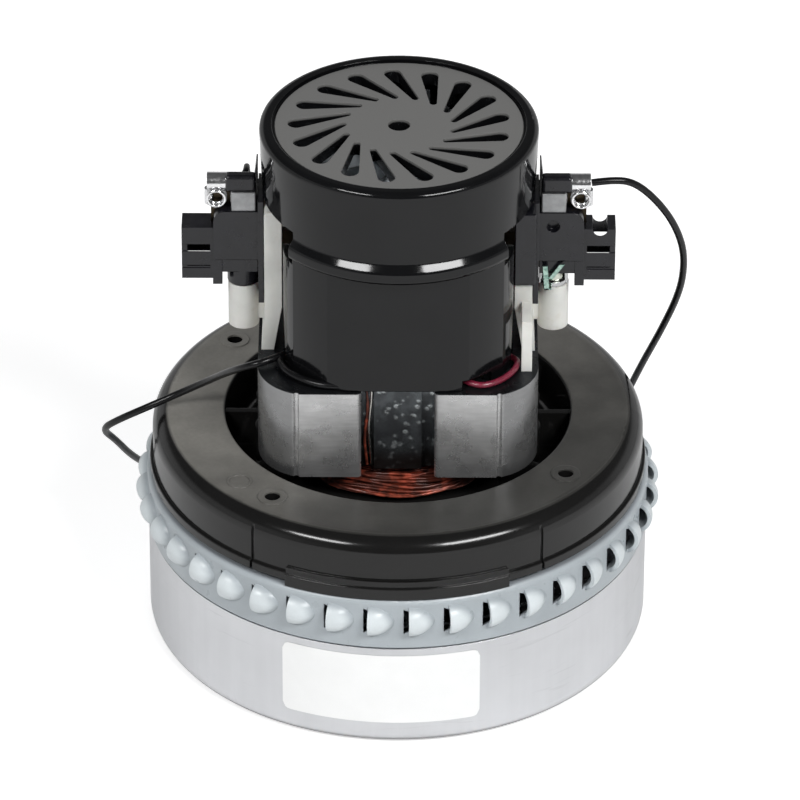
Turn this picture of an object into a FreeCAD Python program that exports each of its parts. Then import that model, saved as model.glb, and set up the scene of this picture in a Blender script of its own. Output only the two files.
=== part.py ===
"""Two-stage bypass vacuum motor with a ring of louvres, built as separate pieces.

The origin is the middle of the can's flat underside. Z runs up the shaft, X runs
through the two brushes and -Y is the front. All sizes are in millimetres.
"""
import FreeCAD
import Part
import os
from math import asin, atan2, ceil, cos, degrees, pi, radians, sin, sqrt, tan

V = FreeCAD.Vector
AXIS = V(0, 0, 1)
ORIGIN = V(0, 0, 0)

# Fan can and louvre shell
can_r = 72.4
can_h = 33.3
can_wall = 0.9
can_corner_r = 4.3
inlet_r = 22.0
inlet_lip_h = 2.2
shell_out = 0.3
shell_r = can_r + shell_out
shell_top = 50.0
shell_wall = 1.0
shell_seam = 0.7
spigot_h = 3.3
louvre_count = 40
louvre_h = 9.6
louvre_len = 7.4
louvre_out = 3.3
louvre_wall = 0.7
louvre_z = 42.9
louvre_slit = 1.4

# Fan stages
impeller_r = 62.0
impeller_eye_r = 21.0
impeller_h = 10.4
impeller_sheet = 0.9
impeller_blades = 7
impeller_sweep = 52.0
impeller_1_z = 4.4
impeller_2_z = 33.4
blade_t = 1.0
stage_r = 65.0
stage_z = 16.8
stage_vanes = 12
stage_sweep = 48.0
stage_hub_r = 9.0

# Shaft, bearings and spacers
shaft_fan_r = 4.0
shaft_bearing_r = 5.0
shaft_core_r = 6.0
shaft_top_r = 4.0
shaft_bottom = 3.2
shaft_top = 157.0
spacer_r = 7.0
nut_across = 13.0
nut_h = 6.0
washer_r = 11.0
washer_t = 1.2
lower_bearing_r = 15.0
lower_bearing_h = 9.0
lower_bearing_z = 48.2
upper_bearing_r = 11.0
upper_bearing_h = 7.0
upper_bearing_z = 136.0
lower_race_t = 2.2
upper_race_t = 1.5
ball_count = 7
ball_gap = 0.12
fit_gap = 0.05
running_gap = 0.3

# End bracket
bracket_top = 68.5
bracket_r = 70.9
bracket_wall = 3.0
bracket_shoulder_r = 5.5
bracket_open_r = 49.8
bracket_floor = 56.0
bracket_skirt_z = 51.5
bracket_lip_h = 2.6
bracket_lip_out = 0.9
sector_out = 0.8
sector_half = 35.2
sector_groove_w = 0.9
sector_groove_depth = 1.5
apron_half = 26.0
apron_ledge_h = 3.7
mount_pcd = 119.0
mount_hole_r = 2.25
mount_boss_r = 5.0
mount_angle = 53.5
mount_count = 4
hub_r = 19.0
pillar_r = 4.4

# Lamination stack
stack_z = 67.5
stack_h = 28.0
stack_half_x = 39.9
stack_half_y = 35.9
stack_corner_r = 16.2
stack_flat_half = 28.4
window_half_x = 28.2
window_half_y = 26.6
window_r = 4.0
bore_r = 21.6
pole_tip_t = 2.5
pole_tip_half = 57.0
neck_half = 16.5
recess_half = 10.4
recess_depth = 4.5
channel_w = 3.6
channel_depth = 1.6
seam_r = 0.8
recess_edge_r = 1.3
bolt_x = 36.6
bolt_y = 8.0
bolt_r = 1.5

# Field coils
wire_r = 0.85
wire_sides = 6
coil_pitch = 2.35
coil_rows = 4
coil_sizes = 3
coil_side_x = 20.0
coil_side_y = 24.2
coil_rise = 4.0
coil_bow = 24.0
liner_t = 0.5

# Armature
core_r = 21.0
core_slots = 12
slot_w = 3.2
slot_mouth = 1.6
slot_depth = 9.0
end_turn_h = 7.6
comm_r = 11.5
comm_z = 112.5
comm_len = 20.0
comm_bars = 24
comm_gap = 0.5
riser_r = 12.6
riser_h = 2.6

# Cover
cover_bottom = 95.8
cover_half_x = 32.6
cover_half_y = 34.9
cover_corner_r = 20.0
cover_wall = 2.0
shoulder_z = 131.8
shoulder_h = 8.2
bead_out = 1.8
bead_low = 2.6
bead_slope_h = 2.3
barrel_r = 38.6
rim_out = 0.9
rim_r = barrel_r + rim_out
cover_top = 163.3
disc_r = 35.0
disc_z = 162.6
disc_t = 4.2
slot_count = 17
slot_in_r = 15.0
slot_out_r = 31.3
slot_sweep = 24.7
slot_start = 91.9
slot_in_half = 1.0
slot_out_half = 2.5
centre_hole_r = 3.15
cutout_half = 40.0
cutout_top = 142.3
window_y = 14.0
window_z = 108.0

# Cooling fan
cooling_fan_r = 33.0
cooling_fan_z = 146.5
cooling_fan_h = 9.5
cooling_blades = 11

# Brush bracket and brush gear
leg_in = 33.0
leg_out = 38.0
leg_half = 12.5
post_x = 44.2
post_r = 4.4
post_z = 97.4
post_h = 14.2
brush_z = 124.0
brush_w = 6.0
brush_h = 10.0
brush_len = 22.0
brush_start = comm_r + running_gap
tube_wall = 0.6
tube_gap = 0.15
tube_in = 16.5
tube_end = 53.4
tube_end_wall = 0.8
block_in = 38.2
block_out = 52.5
block_half = 5.0
block_z = 120.9
block_top = 136.8
box_out = 61.6
box_half = 4.0
box_z = 114.2
box_top = 131.0
flange_t = 1.6
flange_z = 108.5
tab_w = 6.3
tab_t = 0.8
barrel_z = 144.0
spring_wire_r = 0.3
spring_r = 2.2
spring_turns = 6

# Leads: chosen route points, and the coil that puts the surplus away
lead_r = 1.05
lead_sides = 8
tip_r = 0.6
tip_len = 4.0
coil_turns = 2.25
coil_outer_r = 14.6
coil_step = 2.85
coil_end_lean = 30.0
coil_end_in = 3.0
lead_floor = lead_r + 0.1
lead_right_route = [
    (54.6, 0, 144.0),
    (60.5, 0.6, 144.6),
    (66.6, 2.1, 143.0),
    (72.8, 4.8, 136.0),
    (78.4, 8.6, 126.0),
    (81.8, 13.2, 114.4),
    (82.2, 17.8, 102.8),
    (80.8, 23.0, 91.5),
    (76.6, 31.0, 75.0),
    (72.0, 40.0, 58.5),
    (68.0, 49.0, 42.0),
    (63.0, 58.0, 26.0),
    (56.0, 67.0, 12.5),
    (46.0, 75.5, 3.4),
    (34.0, 82.2, lead_floor),
    (21.0, 86.6, lead_floor),
]
lead_left_route = [
    (-32.0, -17.2, 97.2),
    (-37.2, -22.6, 98.0),
    (-43.8, -22.0, 95.6),
    (-48.8, -15.0, 89.4),
    (-54.4, -5.6, 80.6),
    (-61.8, -0.5, 73.6),
    (-72.0, -2.0, 69.2),
    (-80.8, -0.5, 63.8),
    (-86.0, 5.0, 57.0),
    (-82.4, 12.6, 48.4),
    (-78.6, 23.5, 36.0),
    (-74.0, 37.0, 23.5),
    (-66.0, 52.0, 12.0),
    (-54.0, 66.5, 4.0),
    (-39.0, 79.0, lead_floor),
    (-21.0, 86.6, lead_floor),
]
jumper_r = 0.9
jumper_route = [
    (-47.4, 0, 144.0),
    (-44.8, 0.3, 144.2),
    (-43.2, 4.0, 145.2),
    (-43.2, 9.2, 144.2),
    (-43.0, 12.8, 136.0),
    (-42.8, 14.6, 121.0),
    (-42.2, 15.6, 107.0),
    (-39.6, 17.0, 98.2),
    (-33.2, 17.2, 97.2),
]
link_route = [
    (30.4, -16.4, 96.6),
    (34.2, -18.4, 96.6),
    (33.6, -23.2, 96.6),
    (31.2, -27.6, 96.6),
    (27.4, -31.4, 96.6),
    (22.4, -33.2, 96.6),
    (18.6, -30.2, 96.8),
]


def disc(r, z0, z1, hole=0, x=0, y=0):
    """An upright cylinder from z0 to z1, with a hole of radius hole."""
    shape = Part.makeCylinder(r, z1 - z0, V(x, y, z0))
    if hole:
        shape = shape.cut(Part.makeCylinder(hole, z1 - z0 + 2, V(x, y, z0 - 1)))
    return shape


def box(x0, x1, y0, y1, z0, z1):
    """A box between two corners."""
    return Part.makeBox(x1 - x0, y1 - y0, z1 - z0, V(x0, y0, z0))


def rounded_wire(points, radii):
    """A closed wire through the points, with corner n rounded by radii[n] where given."""
    count = len(points)
    starts, ends, arcs = [], [], []
    for n, corner in enumerate(points):
        before, after = points[n - 1], points[(n + 1) % count]
        radius = radii.get(n, 0)
        back = (before - corner).normalize()
        ahead = (after - corner).normalize()
        if not radius:
            starts.append(corner)
            ends.append(corner)
            arcs.append(None)
            continue
        half = back.getAngle(ahead) / 2
        reach = radius / tan(half)
        middle = (back + ahead).normalize() * (radius / sin(half) - radius)
        starts.append(corner + back * reach)
        ends.append(corner + ahead * reach)
        arcs.append(corner + middle)
    edges = []
    for n in range(count):
        if arcs[n] is not None:
            edges.append(Part.Arc(starts[n], arcs[n], ends[n]).toShape())
        following = starts[(n + 1) % count]
        if (following - ends[n]).Length > 1e-6:
            edges.append(Part.LineSegment(ends[n], following).toShape())
    return Part.Wire(edges)


def turned(profile, radii=None):
    """A solid of revolution about Z from (radius, height) corners."""
    points = [V(r, 0, z) for r, z in profile]
    face = Part.Face(rounded_wire(points, radii or {}))
    return face.revolve(ORIGIN, AXIS, 360)


def plate(points, z0, z1, radii=None):
    """An upright prism over (x, y) corners."""
    wire = rounded_wire([V(x, y, z0) for x, y in points], radii or {})
    return Part.Face(wire).extrude(V(0, 0, z1 - z0))


def rounded_box(half_x, half_y, radius, z0, z1):
    """A prism over a rectangle with round corners."""
    corners = [(-half_x, -half_y), (half_x, -half_y), (half_x, half_y), (-half_x, half_y)]
    return plate(corners, z0, z1, {n: radius for n in range(4)})


def turned_copy(shape, angle):
    """A copy turned about the shaft's axis."""
    copy = shape.copy()
    copy.rotate(ORIGIN, AXIS, angle)
    return copy


def around(shape, count, start=0.0):
    """Copies of a shape, evenly spaced about the shaft's axis."""
    return [turned_copy(shape, start + n * 360.0 / count) for n in range(count)]


def mirrored(shape):
    """The same piece on the other side of the shaft."""
    return shape.mirror(ORIGIN, V(1, 0, 0))


def joined(shapes):
    """One solid from shapes that overlap or touch."""
    return shapes[0].multiFuse(shapes[1:]).removeSplitter()


def polar(r, angle, z=0.0):
    """The point at a radius and an angle in degrees."""
    return V(r * cos(radians(angle)), r * sin(radians(angle)), z)


def wedge(half_angle, r, z0, z1, middle):
    """A pie slice about the shaft's axis, half_angle each side of the middle angle."""
    a, b = middle - half_angle, middle + half_angle
    edges = [
        Part.LineSegment(V(0, 0, z0), polar(r, a, z0)).toShape(),
        Part.Arc(polar(r, a, z0), polar(r, middle, z0), polar(r, b, z0)).toShape(),
        Part.LineSegment(polar(r, b, z0), V(0, 0, z0)).toShape(),
    ]
    return Part.Face(Part.Wire(edges)).extrude(V(0, 0, z1 - z0))


def swept_blade(r_in, r_out, sweep, thickness, z0, z1):
    """An upright curved blade whose outer end trails its inner end by the sweep angle."""
    r_mid = (r_in + r_out) / 2
    lag = degrees(thickness / r_mid)
    inner = [polar(r_in, 0, z0), polar(r_mid, -0.42 * sweep, z0), polar(r_out, -sweep, z0)]
    outer = [turned_point(point, lag) for point in inner]
    edges = [
        Part.Arc(*inner).toShape(),
        Part.LineSegment(inner[2], outer[2]).toShape(),
        Part.Arc(outer[2], outer[1], outer[0]).toShape(),
        Part.LineSegment(outer[0], inner[0]).toShape(),
    ]
    return Part.Face(Part.Wire(edges)).extrude(V(0, 0, z1 - z0))


def turned_point(point, angle):
    """A point turned about the shaft's axis."""
    c, s = cos(radians(angle)), sin(radians(angle))
    return V(point.x * c - point.y * s, point.x * s + point.y * c, point.z)


def arc_from(start, tangent, end):
    """The arc that leaves start along tangent and reaches end, or a line where it is straight."""
    chord = end - start
    turn = tangent.getAngle(chord)
    if turn < 1e-4:
        return Part.LineSegment(start, end).toShape()
    along = chord * (1 / chord.Length)
    side = (tangent - along * tangent.dot(along)).normalize()
    rise = chord.Length / 2 * tan(turn / 2)
    return Part.Arc(start, start + chord * 0.5 + side * rise, end).toShape()


def biarc(start, leave, end, arrive):
    """Two tangent arcs from start to end with the given directions there."""
    gap = end - start
    both = leave + arrive
    spread = 2 * (1 - leave.dot(arrive))
    if spread < 1e-9:
        if gap.getAngle(leave) < 1e-6:
            return [Part.LineSegment(start, end).toShape()]
        reach = gap.dot(gap) / (4 * gap.dot(leave))
    else:
        along = gap.dot(both)
        reach = (-along + sqrt(along * along + spread * gap.dot(gap))) / spread
    middle = (start + end + (leave - arrive) * reach) * 0.5
    first = arc_from(start, leave, middle)
    toward = (start + leave * reach - middle) * -1
    second = arc_from(middle, toward.normalize(), end)
    return [first, second]


def ring(radius, sides, start, direction):
    """A many-sided ring round a point, square to a direction and as large as the round one."""
    corner = radius * sqrt(2 * pi / sides / sin(2 * pi / sides))
    turn = FreeCAD.Rotation(AXIS, direction)
    points = []
    for n in range(sides + 1):
        angle = 2 * pi * (n + 0.5) / sides
        points.append(start + turn.multVec(V(corner * cos(angle), corner * sin(angle), 0)))
    return Part.makePolygon(points)


def pipe(edges, radius, sides, start, direction):
    """A faceted tube along tangent edges, from a start point and direction."""
    spine = Part.Wire(edges)
    tube = spine.makePipeShell([ring(radius, sides, start, direction)], True, False)
    if tube.Volume < 0:
        tube.reverse()
    return tube


def route_edges(points, label):
    """Straight runs joined by tangent arcs as large as the runs allow, with the radii printed."""
    points = [V(*point) for point in points]
    edges, radii = [], []
    last = points[0]
    for before, corner, after in zip(points, points[1:], points[2:]):
        back, ahead = before - corner, after - corner
        shorter = min(back.Length, ahead.Length)
        back.normalize()
        ahead.normalize()
        half_turn = (pi - back.getAngle(ahead)) / 2
        reach = 0.45 * shorter
        radius = reach / tan(half_turn)
        radii.append(radius)
        leave, rejoin = corner + back * reach, corner + ahead * reach
        bulge = (back + ahead).normalize() * (radius / cos(half_turn) - radius)
        edges.append(Part.LineSegment(last, leave).toShape())
        edges.append(Part.Arc(leave, corner + bulge, rejoin).toShape())
        last = rejoin
    edges.append(Part.LineSegment(last, points[-1]).toShape())
    print(label, "arc radii", " ".join("%.1f" % radius for radius in radii))
    return edges


def route_tube(points, radius, label):
    """A tube along a chosen route, whose volume is compared with its section and length."""
    edges = route_edges(points, label)
    first, second = V(*points[0]), V(*points[1])
    tube = pipe(edges, radius, lead_sides, first, second - first)
    length = sum(edge.Length for edge in edges)
    print(label, "length %.1f" % length, "volume ratio %.4f" % (tube.Volume / (pi * radius ** 2 * length)))
    return tube


def least_gap(edges, radius, label, spacing=1.0):
    """Prints the least gap of a tube to itself, on points along its middle line."""
    points, places, run = [], [], 0.0
    for edge in edges:
        count = max(2, int(ceil(edge.Length / spacing)))
        for n in range(count):
            share = (n + 0.5) / count
            first, last = edge.FirstParameter, edge.LastParameter
            points.append(edge.valueAt(first + share * (last - first)))
            places.append(run + share * edge.Length)
        run += edge.Length
    least = min(
        (points[a] - points[b]).Length
        for a in range(len(points))
        for b in range(a + 1, len(points))
        if places[b] - places[a] > 8 * radius
    )
    print(label, "least gap to itself %.2f" % (least - 2 * radius))


def spiral_coil(centre, outer, step, turns, start_angle, sense, radius, label):
    """Flat put-away turns that spiral inward, with the inner end's place and direction."""
    quarters = int(round(turns * 4))

    def place(n):
        r = outer - step * n / 4
        angle = start_angle + sense * 90 * n
        if n < quarters:
            return centre + polar(r, angle), polar(1, angle + sense * 90)
        heading = angle + sense * (90 + coil_end_lean)
        return centre + polar(r - coil_end_in, angle), polar(1, heading)

    start, leave = place(0)
    lead_in = start - leave * (2 * radius)
    edges = [Part.LineSegment(lead_in, start).toShape()]
    for n in range(quarters):
        here, out = place(n)
        there, into = place(n + 1)
        edges += biarc(here, out, there, into)
    end, direction = place(quarters)
    edges.append(Part.LineSegment(end, end + direction * (2 * radius)).toShape())
    least_gap(edges, radius, label)
    tube = pipe(edges, radius, lead_sides, lead_in, leave)
    return tube, end + direction * (2 * radius), direction


def fan_shell():
    """The drawn can: flat floor with a rolled inlet lip, round lower corner, upright wall."""
    profile = [
        (inlet_r, 0),
        (can_r, 0),
        (can_r, can_h),
        (can_r - can_wall, can_h),
        (can_r - can_wall, can_wall),
        (inlet_r + can_wall, can_wall),
        (inlet_r + can_wall, inlet_lip_h),
        (inlet_r, inlet_lip_h),
    ]
    return turned(profile, {1: can_corner_r, 4: can_corner_r - can_wall})


def louvre_pair():
    """One half-dome louvre at angle zero: its outer body and the hollow behind its mouth."""
    radius = (louvre_h / 2) ** 2 / (2 * louvre_out) + louvre_out / 2
    middle_r = shell_r + louvre_out - radius

    def half_dome(r, length, start):
        flat = [V(middle_r, start, louvre_z), V(middle_r, length, louvre_z)]
        rim = V(middle_r + r, start, louvre_z)
        tip_r = r - louvre_out * 1.1
        bulge = V(middle_r + r - (r - tip_r) * 0.22, start + (length - start) * 0.55, louvre_z)
        tip = V(middle_r + tip_r, length, louvre_z)
        edges = [
            Part.LineSegment(flat[0], rim).toShape(),
            Part.Arc(rim, bulge, tip).toShape(),
            Part.LineSegment(tip, flat[1]).toShape(),
            Part.LineSegment(flat[1], flat[0]).toShape(),
        ]
        face = Part.Face(Part.Wire(edges))
        return face.revolve(flat[0], V(0, 1, 0), 360)

    outer = half_dome(radius, louvre_len, 0)
    throat_r, end_r = radius - louvre_wall, radius - louvre_wall - louvre_out * 0.9
    length = louvre_len - louvre_wall + louvre_slit
    at = V(middle_r, -louvre_slit, louvre_z)
    hollow = Part.makeCone(throat_r, end_r, length, at, V(0, 1, 0))
    reach = shell_r + 2 * louvre_out
    low, high = louvre_z - louvre_h, louvre_z + louvre_h
    keep = disc(reach, low, high, shell_r - shell_wall - 0.4)
    side = box(0, reach, -louvre_len, 2 * louvre_len, low, high)
    return outer.common(disc(reach, low, high, shell_r - 0.3)).common(side), hollow.common(keep)


def louvre_shell():
    """The second-stage shell: plain wall with a louvre every nine degrees, and a seat on top."""
    wall_z = can_h + shell_seam
    wall = turned(
        [
            (shell_r - shell_wall, wall_z),
            (shell_r, wall_z),
            (shell_r, shell_top),
            (hub_r + 8, shell_top),
            (hub_r + 8, shell_top - shell_wall),
            (shell_r - shell_wall, shell_top - shell_wall),
        ],
        {2: 1.6, 5: 0.6},
    )
    spigot_r = can_r - can_wall - fit_gap
    spigot = disc(spigot_r, can_h - spigot_h, wall_z + 1.0, spigot_r - shell_wall)
    seat = disc(shell_r - shell_wall / 2, wall_z, wall_z + 1.0, spigot_r - shell_wall)
    outer, hollow = louvre_pair()
    pitch_start = 270 - 6.4
    body = wall.multiFuse([spigot, seat] + around(outer, louvre_count, pitch_start))
    return body.cut(Part.makeCompound(around(hollow, louvre_count, pitch_start)))


def impeller(z):
    """A closed impeller: eye plate below, back plate above and swept blades between."""
    back_z = z + impeller_h
    front = disc(impeller_r, z, z + impeller_sheet, impeller_eye_r)
    back = disc(impeller_r, back_z, back_z + impeller_sheet, shaft_fan_r + fit_gap)
    blade = swept_blade(
        impeller_eye_r - 1.5,
        impeller_r - 0.6,
        impeller_sweep,
        blade_t,
        z + impeller_sheet / 2,
        back_z + impeller_sheet / 2,
    )
    return joined([front, back] + around(blade, impeller_blades))


def stage_plate():
    """The fixed plate between the fans, with vanes that lead the air back to the next eye."""
    top = can_h - spigot_h
    lower = disc(stage_r, stage_z, stage_z + impeller_sheet, stage_hub_r)
    upper = disc(can_r - can_wall - fit_gap, top - impeller_sheet, top, impeller_eye_r)
    vane = swept_blade(
        impeller_eye_r + 2,
        stage_r - 1,
        -stage_sweep,
        blade_t,
        stage_z + impeller_sheet / 2,
        top - impeller_sheet / 2,
    )
    return joined([lower, upper] + around(vane, stage_vanes))


def end_bracket():
    """The moulded fan-end bracket: bowl for the motor, seat for the bearing, mounting ring."""
    wall = bracket_wall
    inner_r = bracket_r - wall
    bowl_r = bracket_open_r + wall
    body = turned(
        [
            (hub_r - 10, bracket_floor + 3.2),
            (hub_r, bracket_floor + 3.2),
            (hub_r + 1.0, bracket_floor),
            (bracket_open_r - 1.2, bracket_floor),
            (bracket_open_r, bracket_top),
            (bracket_r, bracket_top),
            (bracket_r, bracket_skirt_z),
            (bracket_r - 1.2, bracket_skirt_z),
            (bracket_r - 1.6, shell_top),
            (inner_r - 1.2, shell_top),
            (inner_r, bracket_top - wall),
            (bowl_r, bracket_top - wall),
            (bowl_r - 1.2, bracket_floor - wall),
            (hub_r + 1.5, bracket_floor - wall),
            (hub_r + 1.5, lower_bearing_z),
            (lower_bearing_r + fit_gap, lower_bearing_z),
            (lower_bearing_r + fit_gap, lower_bearing_z + lower_bearing_h + fit_gap),
            (hub_r - 10, lower_bearing_z + lower_bearing_h + fit_gap),
        ],
        {3: 3.0, 4: 1.0, 5: bracket_shoulder_r, 10: 1.5},
    )
    lip_r = bracket_r + bracket_lip_out
    lip = turned(
        [
            (bracket_r - 1, bracket_skirt_z),
            (lip_r, bracket_skirt_z),
            (lip_r, bracket_skirt_z + bracket_lip_h),
            (bracket_r - 1, bracket_skirt_z + bracket_lip_h),
        ],
        {2: 0.5},
    )
    sector_r = bracket_r + sector_out
    sector = turned(
        [
            (inner_r, bracket_skirt_z),
            (sector_r, bracket_skirt_z),
            (sector_r, bracket_top - 0.3),
            (inner_r, bracket_top - 0.3),
        ],
        {2: bracket_shoulder_r},
    ).common(wedge(sector_half, sector_r + 2, shell_top, bracket_top, 270))
    apron = turned(
        [
            (inner_r, shell_top),
            (sector_r + 0.7, shell_top),
            (sector_r + 0.7, shell_top + apron_ledge_h),
            (sector_r, shell_top + apron_ledge_h),
            (sector_r, shell_top + apron_ledge_h + 2),
            (inner_r, shell_top + apron_ledge_h + 2),
        ],
        {2: 0.4},
    ).common(wedge(apron_half, sector_r + 2, shell_top, bracket_top, 270))
    seats = []
    for side in (-1, 1):
        seats.append(box(min(side * 32, side * 50.5), max(side * 32, side * 50.5), -1, 1, 55, 67.0))
        for end in (-1, 1):
            x, y = side * bolt_x, end * bolt_y
            seats.append(disc(pillar_r, bracket_floor - wall, stack_z, 0, x, y))
            strut = box(36, 50.5, -0.9, 0.9, 55, 65.5)
            strut.rotate(ORIGIN, AXIS, 33 * end if side > 0 else 180 - 33 * end)
            seats.append(strut)
    holes, bosses = [], []
    for n in range(mount_count):
        at = polar(mount_pcd / 2, mount_angle + n * 360 / mount_count)
        bosses.append(disc(mount_boss_r, shell_top + 0.2, bracket_top - 1, 0, at.x, at.y))
        bosses.append(disc(mount_boss_r - 0.8, bracket_top - 1, bracket_top + 0.4, 0, at.x, at.y))
        holes.append(disc(mount_hole_r, shell_top - 1, bracket_top + 1, 0, at.x, at.y))
    for side in (-1, 1):
        for end in (-1, 1):
            x, y = side * bolt_x, end * bolt_y
            holes.append(disc(bolt_r + 0.2, bracket_floor - wall - 1, stack_z + 1, 0, x, y))
            holes.append(disc(3.0, bracket_floor - wall - 1, bracket_floor - wall + 2.4, 0, x, y))
    for end in (-1, 1):
        half = sector_groove_w / 2
        groove = box(sector_r - sector_groove_depth, sector_r + 2, -half, half, shell_top, bracket_top + 1)
        groove.rotate(ORIGIN, AXIS, 270 + end * sector_half)
        holes.append(groove)
    mark = polar(60, 221.6)
    gate = disc(3.6, bracket_top - 0.5, bracket_top + 0.25, 2.9, mark.x, mark.y)
    return joined([body, lip, sector, apron, gate] + seats + bosses).cut(Part.makeCompound(holes))


def stator_core():
    """The lamination stack: two poles front and back, coil windows, bolt holes, front recess."""
    z0, z1 = stack_z, stack_z + stack_h
    cx = stack_half_x - stack_corner_r
    drop = sqrt(stack_corner_r ** 2 - (stack_flat_half - cx) ** 2)
    cy = stack_half_y - drop
    edges = []
    for sx, sy in ((1, -1), (1, 1), (-1, 1), (-1, -1)):
        flat_end = V(sx * stack_flat_half, sy * stack_half_y, z0)
        side_end = V(sx * stack_half_x, sy * cy, z0)
        turn = atan2(drop, stack_flat_half - cx) / 2
        bulge = V(sx * (cx + stack_corner_r * cos(turn)), sy * (cy + stack_corner_r * sin(turn)), z0)
        first, last = (flat_end, side_end) if sx * sy < 0 else (side_end, flat_end)
        if edges:
            edges.append(Part.LineSegment(edges[-1].Vertexes[-1].Point, first).toShape())
        edges.append(Part.Arc(first, bulge, last).toShape())
    edges.append(Part.LineSegment(edges[-1].Vertexes[-1].Point, edges[0].Vertexes[0].Point).toShape())
    body = Part.Face(Part.Wire(edges)).extrude(V(0, 0, stack_h))
    body = body.cut(rounded_box(window_half_x, window_half_y, window_r, z0 - 1, z1 + 1))
    poles = []
    for middle in (90, 270):
        tips = wedge(pole_tip_half, bore_r + pole_tip_t, z0, z1, middle)
        side = 1 if middle == 90 else -1
        neck = box(-neck_half, neck_half, min(0, side * 30), max(0, side * 30), z0, z1)
        poles.append(tips)
        poles.append(neck)
    cuts = [disc(bore_r, z0 - 1, z1 + 1)]
    floor_y = stack_half_y - recess_depth
    for side in (-1, 1):
        low, high = sorted((side * floor_y, side * (stack_half_y + 1)))
        cuts.append(box(-recess_half, recess_half, low, high, z0 - 1, z1 + 1))
        low, high = sorted((side * (floor_y - channel_depth), side * (floor_y + 1)))
        for edge in (-1, 1):
            a, b = sorted((edge * recess_half, edge * (recess_half - channel_w)))
            cuts.append(box(a, b, low, high, z0 - 1, z1 + 1))
        for end in (-1, 1):
            cuts.append(disc(bolt_r + 0.2, z0 - 1, z1 + 1, 0, side * bolt_x, end * bolt_y))
            seam_x, seam_y = end * (stack_flat_half + 0.4), side * stack_half_y
            cuts.append(disc(seam_r, z0 - 1, z1 + 1, 0, seam_x, seam_y))
    core = joined([body] + poles).cut(Part.makeCompound(cuts))
    rims = [e for e in core.Edges if is_recess_rim(e)]
    return core.makeFillet(recess_edge_r, rims)


def is_recess_rim(edge):
    """True for the upright edges where the stack's flats turn into the recess."""
    box_of = edge.BoundBox
    return (
        box_of.ZLength > stack_h - 0.01
        and abs(abs(box_of.XMin) - recess_half) < 0.01
        and box_of.XLength < 0.01
        and abs(abs(box_of.YMin) - stack_half_y) < 0.01
        and box_of.YLength < 0.01
    )


def slot_liners():
    """Thin insulating sheets between the coils and the yoke, one in each window."""
    z0, z1 = stack_z - 2.0, stack_z + stack_h + 0.2
    gap = 0.3
    sheet = rounded_box(window_half_x - gap, window_half_y - gap, window_r, z0, z1)
    inner = window_half_x - gap - liner_t, window_half_y - gap - liner_t
    sheet = sheet.cut(rounded_box(inner[0], inner[1], window_r - liner_t, z0 - 1, z1 + 1))
    inside = neck_half + gap
    return sheet.cut(box(-inside, inside, -40, 40, z0 - 1, z1 + 1))


def coil_edges():
    """The middle line of the front field coil, one unbroken wire through all its turns."""
    bow = radians(coil_bow)

    def side(sign, size, row, z):
        return V(sign * (coil_side_x + size * coil_pitch), -(coil_side_y - row * coil_pitch), z)

    def end_turn(size, row, z, way, sign):
        """Up beside the pole, bowed across its face, and down again; way is 1 above, -1 below."""
        rise = coil_rise + size * coil_pitch
        here, there = side(sign, size, row, z), side(-sign, size, row, z)
        level = V(0, 0, way * rise)
        toward = V(-sign * cos(bow), -sin(bow), 0)
        back = V(sign * cos(bow), -sin(bow), 0)
        leave, meet = here + level + toward * rise, there + level + back * rise
        lean = sin(pi / 4)
        edges = [Part.Arc(here, here + (level * lean) + toward * rise * (1 - lean), leave).toShape()]
        sag = abs(leave.x) * tan(bow / 2)
        crest = V(0, leave.y - sag, leave.z)
        edges.append(Part.Arc(leave, crest, meet).toShape())
        edges.append(Part.Arc(meet, there + (level * lean) + back * rise * (1 - lean), there).toShape())
        return edges

    top, bottom = stack_z + stack_h, stack_z
    up, down = V(0, 0, 1), V(0, 0, -1)
    edges = []
    size, row, step = 0, 0, 1
    while True:
        edges += end_turn(size, row, top, 1, -1)
        at_end = size == (coil_sizes - 1 if step > 0 else 0)
        last = at_end and row == coil_rows - 1
        next_row = row + 1 if at_end and not last else row
        edges += biarc(side(1, size, row, top), down, side(1, size, next_row, bottom), down)
        if next_row != row:
            row, step = next_row, -step
        edges += end_turn(size, row, bottom, -1, 1)
        if last:
            stub = side(-1, size, row, bottom)
            edges.append(Part.LineSegment(stub, stub + up * (2 * wire_r)).toShape())
            return edges
        edges += biarc(side(-1, size, row, bottom), up, side(-1, size + step, row, top), up)
        size += step


def field_coil():
    """The front field coil, wound round its pole with bowed ends above and below the stack."""
    edges = coil_edges()
    least_gap(edges, wire_r, "field coil", 2.0)
    start = edges[0].valueAt(edges[0].FirstParameter)
    lead_in = start - V(0, 0, 2 * wire_r)
    edges.insert(0, Part.LineSegment(lead_in, start).toShape())
    return pipe(edges, wire_r, wire_sides, lead_in, V(0, 0, 1))


def shaft():
    """The stepped shaft, threaded end below and fan seat on top."""
    fan_top = lower_bearing_z
    core_z = lower_bearing_z + lower_bearing_h + 0.5
    upper = upper_bearing_z - 0.4
    return turned(
        [
            (0, shaft_bottom),
            (shaft_fan_r, shaft_bottom),
            (shaft_fan_r, fan_top - 0.4),
            (shaft_bearing_r, fan_top - 0.4),
            (shaft_bearing_r, core_z),
            (shaft_core_r, core_z),
            (shaft_core_r, upper),
            (shaft_top_r, upper),
            (shaft_top_r, shaft_top),
            (0, shaft_top),
        ]
    )


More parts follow.
